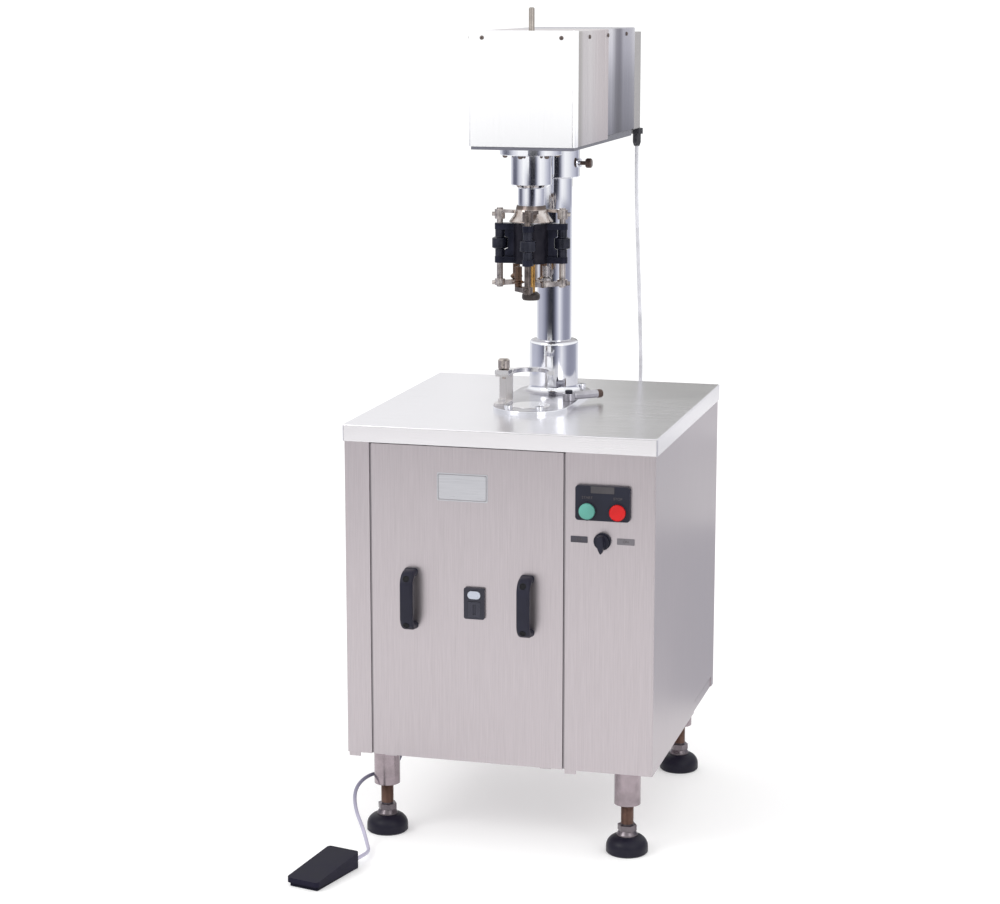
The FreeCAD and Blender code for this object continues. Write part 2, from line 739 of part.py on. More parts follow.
def column_base():
    """Chrome base plate with round ends that carries the column sleeve."""
    bore = COLUMN_DIAMETER / 2 + RUNNING
    sleeve = BASE_SLEEVE_DIAMETER / 2
    plate_top = TABLE_TOP + BASE_PLATE_THICKNESS
    sleeve_top = TABLE_TOP + BASE_SLEEVE_HEIGHT
    spigot = BASE_SPIGOT_DIAMETER / 2
    bend = BASE_FLARE * (1 - math.sqrt(0.5))
    shoulder = 8
    shoulder_bend = shoulder * (1 - math.sqrt(0.5))
    path = [
        Part.LineSegment(V(bore, 0, plate_bottom), V(spigot, 0, plate_bottom)),
        Part.LineSegment(V(spigot, 0, plate_bottom), V(spigot, 0, TABLE_TOP)),
        Part.LineSegment(V(spigot, 0, TABLE_TOP), V(sleeve + BASE_FLARE, 0, TABLE_TOP)),
        Part.LineSegment(V(sleeve + BASE_FLARE, 0, TABLE_TOP), V(sleeve + BASE_FLARE, 0, plate_top)),
        Part.Arc(
            V(sleeve + BASE_FLARE, 0, plate_top), V(sleeve + bend, 0, plate_top + bend),
            V(sleeve, 0, plate_top + BASE_FLARE),
        ),
        Part.LineSegment(V(sleeve, 0, plate_top + BASE_FLARE), V(sleeve, 0, sleeve_top - shoulder)),
        Part.Arc(
            V(sleeve, 0, sleeve_top - shoulder), V(sleeve - shoulder_bend, 0, sleeve_top - shoulder_bend),
            V(sleeve - shoulder, 0, sleeve_top),
        ),
        Part.LineSegment(V(sleeve - shoulder, 0, sleeve_top), V(bore, 0, sleeve_top)),
        Part.LineSegment(V(bore, 0, sleeve_top), V(bore, 0, plate_bottom)),
    ]
    sleeve_body = Part.Face(Part.Wire([p.toShape() for p in path])).revolve(V(0, 0, 0), UP, 360)
    sleeve_body.translate(V(0, COLUMN_Y, 0))
    half = BASE_PLATE_WIDTH / 2
    back_end = COLUMN_Y + BASE_PLATE_REACH
    plate = fused(
        box(-half, half, SPINDLE_Y, back_end, TABLE_TOP, plate_top),
        cylinder(half, TABLE_TOP, plate_top, 0, SPINDLE_Y), cylinder(half, TABLE_TOP, plate_top, 0, back_end),
    )
    rim = [e for e in plate.Edges if min(v.Z for v in e.Vertexes) > plate_top - 1e-6]
    plate = plate.makeFillet(2, rim)
    plate = plate.cut(cylinder(PLATFORM_DIAMETER / 2 + 2 * SLIP, TABLE_TOP, plate_top, 0, SPINDLE_Y))
    plate = plate.cut(cylinder(sleeve, TABLE_TOP, plate_top, 0, COLUMN_Y))
    heads = []
    for side in (-1, 1):
        for centre, angle in ((SPINDLE_Y, -60), (back_end, 42)):
            x = side * BASE_BOLT_RADIUS * math.cos(math.radians(angle))
            y = centre + BASE_BOLT_RADIUS * math.sin(math.radians(angle))
            heads.append(ring(BASE_BOLT_HEAD / 2, BASE_BOLT_HEAD / 4, plate_top, plate_top + 8, x, y))
            heads.append(cylinder(BASE_BOLT_HEAD / 4, plate_top, plate_top + 3, x, y))
    return fused(sleeve_body, plate, *heads)


def head_collar():
    bore = COLUMN_DIAMETER / 2 + RUNNING
    outer = COLLAR_DIAMETER / 2
    flange = COLLAR_FLANGE_DIAMETER / 2
    bottom = HEAD_BOTTOM - COLLAR_LENGTH
    flange_bottom = HEAD_BOTTOM - COLLAR_FLANGE_THICKNESS
    profile = [
        (bore, bottom), (outer - 3, bottom), (outer, bottom + 3), (outer, flange_bottom),
        (flange, flange_bottom), (flange, HEAD_BOTTOM), (bore, HEAD_BOTTOM),
    ]
    collar = turned(profile, 0, COLUMN_Y)
    knob_z = HEAD_BOTTOM - COLLAR_KNOB_DROP
    boss = rod_along(9, (outer - 3, COLUMN_Y, knob_z), RIGHT, 7)
    hole = rod_along(4 + RUNNING, (bore - 1, COLUMN_Y, knob_z), RIGHT, outer - bore + 10)
    return fused(collar, boss).cut(hole)


def collar_knob():
    outer = COLLAR_DIAMETER / 2
    tip = COLUMN_DIAMETER / 2 + SLIP + RUNNING
    stem = outer + 4 + 10 - tip
    profile = [
        (0, 0), (4, 0), (4, stem), (8, stem), (9.5, stem + 2), (9.5, stem + 10), (7.5, stem + 12),
        (0, stem + 12),
    ]
    return turned_along(profile, (tip, COLUMN_Y, HEAD_BOTTOM - COLLAR_KNOB_DROP), RIGHT)


# Head casing
def head_plate():
    x1 = casing_half - WALL - SLIP
    plate = box(-x1, x1, head_front + WALL + SLIP, REAR_COVER_BACK - 8, HEAD_BOTTOM, head_plate_top)
    plate = plate.makeFillet(5, upright_edges(plate))
    plate = plate.cut(cylinder(BEARING_OUTER / 2, HEAD_BOTTOM, head_plate_top, 0, SPINDLE_Y))
    return plate.cut(cylinder(COLUMN_DIAMETER / 2 + RUNNING, HEAD_BOTTOM, head_plate_top, 0, COLUMN_Y))


def front_cover():
    x1 = HEAD_WIDTH / 2
    y1 = head_front + FRONT_COVER_DEPTH
    outer = box(-x1, x1, head_front, y1, cover_bottom, head_top)
    corners = [e for e in upright_edges(outer) if e.Vertexes[0].Y < head_front + 1]
    outer = outer.makeFillet(SHEET_CORNER, corners)
    inner = box(-x1 + WALL, x1 - WALL, head_front + WALL, y1, cover_bottom, head_top - WALL)
    inner_corners = [e for e in upright_edges(inner) if e.Vertexes[0].Y < y1 - 1]
    return outer.cut(inner.makeFillet(SHEET_CORNER - WALL, inner_corners))


def bridge_cover(y0, y1, bottom):
    """Folded sheet: two side walls and the top between them."""
    outer = box(-casing_half, casing_half, y0, y1, bottom, head_top - CASING_INSET)
    bends = [e for e in edges_along(outer, BACK) if e.Vertexes[0].Z > bottom + 1]
    outer = outer.makeFillet(WALL + 1, bends)
    inner = box(-casing_half + WALL, casing_half - WALL, y0, y1, bottom, head_top - CASING_INSET - WALL)
    return outer.cut(inner)


def middle_casing():
    y0 = head_front + FRONT_COVER_DEPTH + SLIP
    casing = bridge_cover(y0, MIDDLE_CASING_BACK, cover_bottom)
    return casing.cut(cylinder(ROD_DIAMETER / 2 + 1.5, head_top - 10, head_top, 0, SPINDLE_Y))


def rear_cover():
    return bridge_cover(MIDDLE_CASING_BACK + SLIP, REAR_COVER_BACK, head_plate_top + SLIP)


def rear_end_cover():
    x1 = casing_half - CASING_INSET
    y0 = REAR_COVER_BACK + SLIP
    y1 = REAR_COVER_BACK + END_COVER_DEPTH
    z0 = head_plate_top - WALL
    z1 = head_top - END_COVER_DROP
    outer = box(-x1, x1, y0, y1, z0, z1)
    outer = outer.makeFillet(END_COVER_CORNER, [e for e in upright_edges(outer) if e.Vertexes[0].Y > y1 - 1])
    inner = box(-x1 + WALL, x1 - WALL, y0, y1 - WALL, z0 + WALL, z1 - WALL)
    back = [e for e in upright_edges(inner) if e.Vertexes[0].Y > y0 + 1]
    inner = inner.makeFillet(END_COVER_CORNER - WALL, back)
    x, y, z = MOTOR_ROUTE[0]
    nut_z = z0 - GLAND_NUT_HEIGHT
    gland = turned([(0, z), (6, z), (8.5, z + 8), (8.5, nut_z), (0, nut_z)], x, y)
    nut = hexagon(GLAND_NUT_ACROSS, nut_z, z0, x, y)
    cable_way = cylinder(MOTOR_CABLE_DIAMETER / 2 + SLIP, z, z0 + WALL, x, y)
    return fused(outer.cut(inner), nut, gland).cut(cable_way)


# Head drive
def head_motor():
    radius = MOTOR_DIAMETER / 2
    core = radius - MOTOR_FIN
    bottom = head_plate_top
    top = bottom + MOTOR_HEIGHT
    bore = MOTOR_SHAFT_DIAMETER / 2 + RUNNING
    profile = [
        (0, bottom), (radius, bottom), (radius, bottom + MOTOR_FLANGE), (core, bottom + MOTOR_FLANGE),
        (core, top - MOTOR_BELL), (core - MOTOR_FIN, top - MOTOR_NOSE), (MOTOR_NOSE_RADIUS, top - MOTOR_NOSE),
        (MOTOR_NOSE_RADIUS, top), (bore, top), (bore, top - SHAFT_SEAT), (0, top - SHAFT_SEAT),
    ]
    motor = turned(profile, 0, MOTOR_Y)
    ribs = []
    for k in range(12):
        rib = box(core - 1, radius - 1, MOTOR_Y - 2, MOTOR_Y + 2, bottom + MOTOR_FLANGE, top - MOTOR_BELL - 2)
        ribs.append(turn_about(rib, 30 * k, 0, MOTOR_Y))
    return fused(motor, *ribs)


def pulley_profile(radius, bore, bottom):
    top = bottom + PULLEY_WIDTH
    groove = radius - PULLEY_FLANGE
    return [
        (bore, bottom), (radius + 2, bottom), (radius + 2, bottom + PULLEY_FLANGE),
        (groove, bottom + PULLEY_FLANGE), (groove, top - PULLEY_FLANGE), (radius + 2, top - PULLEY_FLANGE),
        (radius + 2, top), (bore, top),
    ]


def motor_pulley():
    shaft = MOTOR_SHAFT_DIAMETER / 2
    bottom = head_plate_top + MOTOR_HEIGHT - SHAFT_SEAT + SHAFT_SHORT
    pulley = turned(pulley_profile(MOTOR_PULLEY_DIAMETER / 2, 0, pulley_bottom), 0, MOTOR_Y)
    return fused(pulley, cylinder(shaft, bottom, pulley_bottom + 1, 0, MOTOR_Y))


def belt_loop(offset, z0, z1):
    """Closed loop round both pulleys, offset outwards from their grooves."""
    big = SPINDLE_PULLEY_DIAMETER / 2 - PULLEY_FLANGE + offset
    small = MOTOR_PULLEY_DIAMETER / 2 - PULLEY_FLANGE + offset
    lean = math.asin((big - small) / (MOTOR_Y - SPINDLE_Y))
    cos, sin = math.cos(lean), math.sin(lean)

    def at(radius, side, centre):
        return V(side * radius * cos, centre + radius * sin, z0)

    path = [
        Part.Arc(at(big, 1, SPINDLE_Y), V(0, SPINDLE_Y - big, z0), at(big, -1, SPINDLE_Y)),
        Part.LineSegment(at(big, -1, SPINDLE_Y), at(small, -1, MOTOR_Y)),
        Part.Arc(at(small, -1, MOTOR_Y), V(0, MOTOR_Y + small, z0), at(small, 1, MOTOR_Y)),
        Part.LineSegment(at(small, 1, MOTOR_Y), at(big, 1, SPINDLE_Y)),
    ]
    face = Part.Face(Part.Wire([p.toShape() for p in path]))
    return face.extrude(V(0, 0, z1 - z0))


def drive_belt():
    z0 = pulley_bottom + PULLEY_FLANGE + SLIP
    z1 = pulley_bottom + PULLEY_WIDTH - PULLEY_FLANGE - SLIP
    return belt_loop(SLIP + BELT_THICKNESS, z0, z1).cut(belt_loop(SLIP, z0, z1))


def spindle_housing():
    flange = HOUSING_FLANGE_DIAMETER / 2
    outer = HOUSING_DIAMETER / 2
    bottom = HEAD_BOTTOM - HOUSING_LENGTH
    flange_bottom = HEAD_BOTTOM - HOUSING_FLANGE_THICKNESS
    seat = BEARING_OUTER / 2
    lip = SPINDLE_DIAMETER / 2 + 1
    profile = [
        (lip, bottom), (outer - 5, bottom), (outer, bottom + 5), (outer, flange_bottom),
        (flange - 1, flange_bottom), (flange, flange_bottom + 1), (flange, HEAD_BOTTOM), (seat, HEAD_BOTTOM),
        (seat, bottom + 4), (lip, bottom + 4),
    ]
    return turned(profile, 0, SPINDLE_Y)


def spindle_bearings():
    bottom = HEAD_BOTTOM - HOUSING_LENGTH + 4
    outer = BEARING_OUTER / 2 - RUNNING
    inner = SPINDLE_DIAMETER / 2 + RUNNING
    rings = []
    for z in (bottom, HEAD_BOTTOM - 2 - BEARING_WIDTH):
        profile = [
            (inner, z), (inner + 4, z), (inner + 5, z + 2), (outer - 5, z + 2), (outer - 4, z), (outer, z),
            (outer, z + BEARING_WIDTH), (outer - 4, z + BEARING_WIDTH), (outer - 5, z + BEARING_WIDTH - 2),
            (inner + 5, z + BEARING_WIDTH - 2), (inner + 4, z + BEARING_WIDTH), (inner, z + BEARING_WIDTH),
        ]
        rings.append(turned(profile, 0, SPINDLE_Y))
    return compound(rings)


def spindle():
    neck = NECK_DIAMETER / 2
    shaft = SPINDLE_DIAMETER / 2
    shoulder = HEAD_BOTTOM - HOUSING_LENGTH - SLIP
    wide_bore = PRESSURE_SHAFT_DIAMETER / 2 + RUNNING
    bore_top = pressure_shaft_top + PRESSURE_STROKE + 6
    thin_bore = ROD_DIAMETER / 2 + RUNNING
    profile = [
        (wide_bore, carrier_bottom), (neck, carrier_bottom), (neck, shoulder - 2), (neck - 2, shoulder),
        (shaft, shoulder), (shaft, spindle_top), (thin_bore, spindle_top), (thin_bore, bore_top),
        (wide_bore, bore_top),
    ]
    body = turned(profile, 0, SPINDLE_Y)
    pulley = turned(pulley_profile(SPINDLE_PULLEY_DIAMETER / 2, shaft, pulley_bottom), 0, SPINDLE_Y)
    return fused(body, pulley)


# Capping head
def head_point(radius, angle):
    return (
        radius * math.cos(math.radians(angle)),
        SPINDLE_Y + radius * math.sin(math.radians(angle)),
    )


def arm_point(arm_angle, length, offset):
    """Point at a length from an arm's pivot, offset degrees off the line to the spindle axis."""
    px, py = head_point(pivot_radius, arm_angle)
    direction = math.radians(arm_angle + 180 + offset)
    return px + length * math.cos(direction), py + length * math.sin(direction)


def follower_reach(travel):
    """Cone radius that just clears a follower after the cone has risen by travel."""
    angle = math.radians(FOLLOWER_OPEN_ANGLE + ARM_SWING * travel / CONE_STROKE)
    squared = pivot_radius ** 2 + FOLLOWER_ARM ** 2 - 2 * pivot_radius * FOLLOWER_ARM * math.cos(angle)
    return math.sqrt(squared) - FOLLOWER_RADIUS - SLIP


def cam_cone():
    bore = NECK_DIAMETER / 2 + RUNNING
    steps = 5
    flank = []
    for k in range(steps):
        travel = CONE_STROKE * k / (steps - 1)
        flank.append((follower_reach(travel), follower_bottom - travel))
    flank.reverse()
    foot = [(bore, cone_foot), (flank[0][0], cone_foot)]
    top = [(bore + 2, cone_top), (bore, cone_top)]
    return turned(foot + flank + top, 0, SPINDLE_Y)


def star_plate(z0, z1):
    hub = cylinder(CARRIER_HUB_DIAMETER / 2, z0, z1, 0, SPINDLE_Y)
    lugs = []
    for angle in ARM_ANGLES:
        x, y = head_point(pivot_radius, angle)
        spoke = box(0, pivot_radius, SPINDLE_Y - LUG_RADIUS, SPINDLE_Y + LUG_RADIUS, z0, z1)
        lugs.append(turn_about(spoke, angle, 0, SPINDLE_Y))
        lugs.append(cylinder(LUG_RADIUS, z0, z1, x, y))
    return fused(hub, *lugs)


def arm_carrier():
    upper = star_plate(carrier_top - CARRIER_PLATE, carrier_top)
    lower = star_plate(carrier_bottom, carrier_bottom + CARRIER_PLATE)
    hub = cylinder(CARRIER_HUB_DIAMETER / 2, carrier_bottom, carrier_top, 0, SPINDLE_Y)
    carrier = fused(hub, upper, lower)
    carrier = carrier.cut(cylinder(NECK_DIAMETER / 2 + RUNNING, carrier_bottom, carrier_top, 0, SPINDLE_Y))
    for angle in ARM_ANGLES:
        x, y = head_point(pivot_radius, angle)
        carrier = carrier.cut(cylinder(PIVOT_DIAMETER / 2 + RUNNING, carrier_bottom, carrier_top, x, y))
    return carrier


def link(start, end, width, z0, z1):
    """Flat bar with round ends between two plan points."""
    length = math.hypot(end[0] - start[0], end[1] - start[1])
    angle = math.degrees(math.atan2(end[1] - start[1], end[0] - start[0]))
    bar = box(start[0], start[0] + length, start[1] - width / 2, start[1] + width / 2, z0, z1)
    bar = turn_about(bar, angle, *start)
    return fused(bar, cylinder(width / 2, z0, z1, *start), cylinder(width / 2, z0, z1, *end))


def pinch_screw(angle, z):
    """Screw head that clamps a lever's eye, on the side away from the spindle."""
    outward = V(math.cos(math.radians(angle)), math.sin(math.radians(angle)), 0)
    return rod_along(PINCH_SCREW_RADIUS, (*head_point(pivot_radius, angle), z), outward, PINCH_SCREW_REACH)


def roller_arm(angle, bar_drop):
    """Vertical shaft with a cam lever above the carrier and a roller bar below it."""
    pivot = head_point(pivot_radius, angle)
    roller = arm_point(angle, ARM_LENGTH, ARM_OPEN_ANGLE)
    follower = arm_point(angle, FOLLOWER_ARM, -FOLLOWER_OPEN_ANGLE)
    low = carrier_bottom + CARRIER_PLATE + SLIP
    high = carrier_top - CARRIER_PLATE - SLIP
    collar_low = (low + high - ARM_COLLAR_HEIGHT) / 2
    collar_high = (low + high + ARM_COLLAR_HEIGHT) / 2
    bar_bottom = carrier_bottom - bar_drop
    bar_top = bar_bottom + ARM_BAR_THICKNESS
    cam_top = follower_bottom + FOLLOWER_THICKNESS
    cam_eye_bottom = cam_top - CAM_EYE_HEIGHT
    sleeve = turned([
        (0, low), (ARM_SLEEVE_RADIUS, low), (ARM_SLEEVE_RADIUS, collar_low - 3),
        (ARM_COLLAR_RADIUS, collar_low), (ARM_COLLAR_RADIUS, collar_high),
        (ARM_SLEEVE_RADIUS, collar_high + 3), (ARM_SLEEVE_RADIUS, high), (0, high),
    ], *pivot)
    spine = cylinder(PIVOT_DIAMETER / 2, bar_bottom - EYE_PROUD, cam_top + EYE_PROUD, *pivot)
    bar = link(pivot, roller, ARM_BAR_WIDTH, bar_bottom, bar_top)
    bar_eye = cylinder(EYE_RADIUS, bar_bottom, bar_top + EYE_PROUD, *pivot)
    cam_lever = link(pivot, follower, 2 * FOLLOWER_RADIUS, follower_bottom, cam_top)
    cam_eye = cylinder(EYE_RADIUS, cam_eye_bottom, cam_top, *pivot)
    pin = cylinder(ROLLER_PIN_DIAMETER / 2, bar_bottom, roller_top + 1, *roller)
    screws = [
        pinch_screw(angle, bar_bottom + ARM_BAR_THICKNESS / 2),
        pinch_screw(angle, cam_top - CAM_EYE_HEIGHT / 2),
    ]
    return fused(spine, sleeve, bar, bar_eye, cam_lever, cam_eye, pin, *screws)


def roller(angle, bar_drop, disc, rise):
    """Roller whose working disc has the given height and sits above its bar by the given rise."""
    bore = ROLLER_PIN_DIAMETER / 2 + RUNNING
    low = carrier_bottom - bar_drop + ARM_BAR_THICKNESS + SLIP
    hub = ROLLER_HUB_RADIUS
    bevel = disc / 3
    foot = low + rise
    profile = [
        (hub, foot), (ROLLER_RADIUS, foot + bevel), (ROLLER_RADIUS, foot + disc - bevel),
        (hub, foot + disc), (hub, roller_top), (bore, roller_top), (bore, low),
    ]
    if rise:
        profile.append((hub, low))
    return turned(profile, *arm_point(angle, ARM_LENGTH, ARM_OPEN_ANGLE))


def pressure_block():
    radius = BLOCK_DIAMETER / 2
    socket = CAP_SOCKET_DIAMETER / 2
    top = block_top
    ceiling = block_bottom + CAP_SOCKET_DEPTH
    return turned([
        (socket, block_bottom), (radius - 2, block_bottom), (radius, block_bottom + 3), (radius, top - 5),
        (radius - 5, top), (0, top), (0, ceiling), (socket, ceiling),
    ], 0, SPINDLE_Y)


def pressure_shaft():
    return cylinder(PRESSURE_SHAFT_DIAMETER / 2, block_top, pressure_shaft_top, 0, SPINDLE_Y)


def pressure_rod():
    radius = ROD_DIAMETER / 2
    return turned([
        (0, pressure_shaft_top), (radius, pressure_shaft_top), (radius, rod_top - 2), (radius - 2, rod_top),
        (0, rod_top),
    ], 0, SPINDLE_Y)


# Bottle platform and lift
base_top = TABLE_TOP + BASE_PLATE_THICKNESS
platform_bottom = TABLE_TOP - PLATFORM_SINK
platform_top = platform_bottom + PLATFORM_THICKNESS
shelf_top = base_top + BRACKET_HEIGHT - SLIP - GUIDE_THICKNESS
guide_bottom = shelf_top + SLIP
guide_top = guide_bottom + GUIDE_THICKNESS
stud_y = BRACKET_BACK - BRACKET_THICKNESS - SHELF_REACH / 2


def lift_guide():
    """Flanged bearing barrel bolted under the machine plate."""
    bore = LIFT_ROD_DIAMETER / 2 + RUNNING
    flange = LIFT_FLANGE_DIAMETER / 2
    barrel = LIFT_BARREL_DIAMETER / 2
    flange_bottom = plate_bottom - LIFT_FLANGE_THICKNESS
    top = platform_bottom - SLIP
    guide = turned([
        (bore, lift_barrel_bottom), (barrel - 3, lift_barrel_bottom), (barrel, lift_barrel_bottom + 3),
        (barrel, flange_bottom), (flange, flange_bottom), (flange, plate_bottom), (barrel, plate_bottom),
        (barrel, top), (bore, top),
    ], 0, SPINDLE_Y)
    heads = []
    for angle in (45, 135, 225, 315):
        x, y = head_point(flange - 9, angle)
        heads.append(hexagon(13, flange_bottom - 8, flange_bottom, x, y))
    return fused(guide, *heads)


def bottle_platform():
    """Round bottle platform turned in one piece with its lift rod."""
    radius = PLATFORM_DIAMETER / 2
    rod = LIFT_ROD_DIAMETER / 2
    low = cam_height + CAM_SMALL_RADIUS + FOLLOWER_GAP
    tip = rod * math.sqrt(0.5)
    outline = Part.Wire([
        Part.Arc(V(0, 0, low), V(tip, 0, low + rod - tip), V(rod, 0, low + rod)).toShape(),
        Part.LineSegment(V(rod, 0, low + rod), V(rod, 0, platform_bottom)).toShape(),
        Part.LineSegment(V(rod, 0, platform_bottom), V(radius, 0, platform_bottom)).toShape(),
        Part.LineSegment(V(radius, 0, platform_bottom), V(radius, 0, platform_top - 1)).toShape(),
        Part.LineSegment(V(radius, 0, platform_top - 1), V(radius - 1, 0, platform_top)).toShape(),
        Part.LineSegment(V(radius - 1, 0, platform_top), V(0, 0, platform_top)).toShape(),
        Part.LineSegment(V(0, 0, platform_top), V(0, 0, low)).toShape(),
    ])
    platform = Part.Face(outline).revolve(V(0, 0, 0), UP, 360)
    platform.translate(V(0, SPINDLE_Y, 0))
    return platform


def lift_cam():
    """Heart cam whose radius grows evenly with the angle over half a turn and falls back over the other."""
    steps = 12
    points = []
    for k in range(steps + 1):
        turn = math.pi * k / steps
        radius = CAM_SMALL_RADIUS + LIFT_STROKE * k / steps
        points.append((radius * math.sin(turn), radius * math.cos(turn)))
    x0 = -CAM_THICKNESS / 2
    start = [V(x0, SPINDLE_Y + a, cam_height + b) for a, b in points]
    mirrored = [V(x0, SPINDLE_Y - a, cam_height + b) for a, b in points]
    rise = Part.BSplineCurve()
    rise.interpolate(start)
    fall = Part.BSplineCurve()
    fall.interpolate(mirrored[::-1])
    face = Part.Face(Part.Wire([rise.toShape(), fall.toShape()]))
    plate = face.extrude(V(CAM_THICKNESS, 0, 0))
    radius = CAM_SHAFT_DIAMETER / 2
    proud = 4
    length = proud + CAM_THICKNESS + CAM_SHAFT_GAP + CAM_SHAFT_DEPTH
    return fused(plate, rod_along(radius, (x0 - proud, SPINDLE_Y, cam_height), RIGHT, length))


def lift_gearmotor():
    x0 = CAM_THICKNESS / 2 + CAM_SHAFT_GAP
    x1 = x0 + GEARBOX_WIDTH
    end = half_width - WALL - LIFT_MOTOR_SIDE_GAP
    radius = LIFT_MOTOR_DIAMETER / 2
    floor = BODY_BOTTOM + WALL
    y0 = SPINDLE_Y - GEARBOX_DEPTH / 2
    y1 = SPINDLE_Y + GEARBOX_DEPTH / 2
    case = box(x0, x1, y0, y1, floor, floor + GEARBOX_HEIGHT)
    case = case.makeFillet(12, edges_along(case, RIGHT)[:4])
    foot = box(x0, x1, y0 - 20, y1 + 20, floor, floor + 12)
    motor = rod_along(radius, (x1, SPINDLE_Y, cam_height), RIGHT, end - x1)
    motor = motor.makeChamfer(8, [e for e in motor.Edges if e.Closed and e.Vertexes[0].X > end - 1e-6])
    box_start = x1 + TERMINAL_START
    terminal = box(
        box_start, box_start + TERMINAL_LENGTH,
        SPINDLE_Y - TERMINAL_WIDTH / 2, SPINDLE_Y + TERMINAL_WIDTH / 2,
        cam_height, cam_height + radius + TERMINAL_RISE,
    )
    body = fused(case, foot, motor, terminal)
    bore = CAM_SHAFT_DIAMETER / 2 + RUNNING
    return body.cut(rod_along(bore, (x0, SPINDLE_Y, cam_height), RIGHT, CAM_SHAFT_DEPTH + 2))


# Bottle guide
bracket_left = BRACKET_X - GUIDE_ARM_WIDTH / 2
bracket_right = BRACKET_X + GUIDE_ARM_WIDTH / 2


def guide_bracket():
    foot_top = base_top + BRACKET_THICKNESS
    upright_front = BRACKET_BACK - BRACKET_THICKNESS
    foot = box(bracket_left, bracket_right, BRACKET_FRONT, BRACKET_BACK, base_top, foot_top)
    foot = foot.makeFillet(6, [e for e in upright_edges(foot) if e.Vertexes[0].Y < BRACKET_FRONT + 1])
    upright = box(bracket_left, bracket_right, upright_front, BRACKET_BACK, base_top, shelf_top)
    shelf = box(
        bracket_left, bracket_right, upright_front - SHELF_REACH, BRACKET_BACK,
        shelf_top - BRACKET_THICKNESS, shelf_top,
    )
    bolt = hexagon(13, foot_top, foot_top + 7, BRACKET_X, BRACKET_FRONT + 16)
    bracket = fused(foot, upright, shelf, bolt)
    bore = GUIDE_STUD_DIAMETER / 2 + RUNNING
    return bracket.cut(cylinder(bore, shelf_top - BRACKET_THICKNESS, shelf_top, BRACKET_X, stud_y))


def bottle_guide():
    """Half ring that steadies the bottle, with a slotted arm out to the bracket."""
    inner = GUIDE_INNER_DIAMETER / 2
    outer = inner + GUIDE_RIM
    arm_half = GUIDE_TRAVEL + GUIDE_STUD_DIAMETER + 4
    ring_half = cylinder(outer, guide_bottom, guide_top, 0, SPINDLE_Y)
    ring_half = ring_half.cut(box(-outer, outer, SPINDLE_Y - outer, SPINDLE_Y, guide_bottom, guide_top))
    arm = box(bracket_left, -inner * 0.6, stud_y - arm_half, stud_y + arm_half, guide_bottom, guide_top)
    guide = fused(ring_half, arm)
    guide = guide.cut(cylinder(inner, guide_bottom, guide_top, 0, SPINDLE_Y))
    front_part = box(bracket_right + 1, 0, SPINDLE_Y - outer, SPINDLE_Y, guide_bottom, guide_top)
    guide = guide.cut(front_part)
    slot_half = GUIDE_STUD_DIAMETER / 2 + SLIP
    slot = box(
        BRACKET_X - slot_half, BRACKET_X + slot_half, stud_y - GUIDE_TRAVEL - slot_half,
        stud_y + GUIDE_TRAVEL + slot_half, guide_bottom, guide_top,
    )
    slot = slot.makeFillet(slot_half - 0.1, upright_edges(slot))
    return guide.cut(slot)


def guide_knob():
    radius = GUIDE_KNOB_DIAMETER / 2
    stud = GUIDE_STUD_DIAMETER / 2
    low = shelf_top - BRACKET_THICKNESS - 6
    grip = guide_top + SLIP
    top = grip + GUIDE_KNOB_LENGTH
    return turned([
        (0, low), (stud, low), (stud, grip), (radius - 2, grip), (radius, grip + 2), (radius, top - 3),
        (radius - 3, top), (0, top),
    ], BRACKET_X, stud_y)


def clamp_lever():
    hub_bottom = base_top + SLIP
    hub_top = hub_bottom + LEVER_HUB_HEIGHT
    hub = cylinder(LEVER_HUB_DIAMETER / 2, hub_bottom, hub_top, LEVER_X, LEVER_Y)
    angle = math.radians(LEVER_ANGLE)
    direction = V(math.cos(angle), math.sin(angle), 0)
    radius = LEVER_BAR_DIAMETER / 2
    middle = hub_bottom + radius + 0.5
    profile = [
        (0, 0), (radius - 1, 0), (radius, 14), (radius, LEVER_LENGTH - 2), (radius - 2, LEVER_LENGTH),
        (0, LEVER_LENGTH),
    ]
    bar = turned_along(profile, (LEVER_X, LEVER_Y, middle), direction)
    screw = hexagon(10, hub_top, hub_top + 5, LEVER_X, LEVER_Y)
    return fused(hub, bar, screw)


# Foot switch, built along Y and turned on the floor
def on_floor(solid):
    solid.rotate(V(0, 0, 0), UP, SWITCH_TURN)
    solid.translate(V(SWITCH_X, SWITCH_Y, 0))
    return solid


def side_profile(points, width):
    face = Part.Face(Part.makePolygon([V(-width / 2, u, z) for u, z in points + points[:1]]))
    return face.extrude(V(width, 0, 0))


switch_rear = SWITCH_LENGTH / 2
pedal_hinge = (switch_rear - PEDAL_HINGE_INSET, SWITCH_HEIGHT - SWITCH_PEDAL - SLIP / 2)


def hinge_bead(radius, width):
    along, height = pedal_hinge
    return rod_along(radius, (-width / 2, along, height), RIGHT, width)


def foot_switch_base():
    """Wedge under the pedal, with a groove for the pedal's hinge bead."""
    width = SWITCH_WIDTH - 2 * (PEDAL_WALL + PEDAL_SIDE_GAP)
    toe = -switch_rear + PEDAL_WALL + 2 * PEDAL_SIDE_GAP
    seat = SWITCH_HEIGHT - SWITCH_PEDAL - SLIP
    base = side_profile([
        (toe, 0), (switch_rear, 0), (switch_rear, seat), (switch_rear - 14, seat - 4), (toe, SWITCH_TOE),
    ], width)
    base = base.makeFillet(3, upright_edges(base))
    return on_floor(base.cut(hinge_bead(PEDAL_HINGE_RADIUS + SLIP, width)))


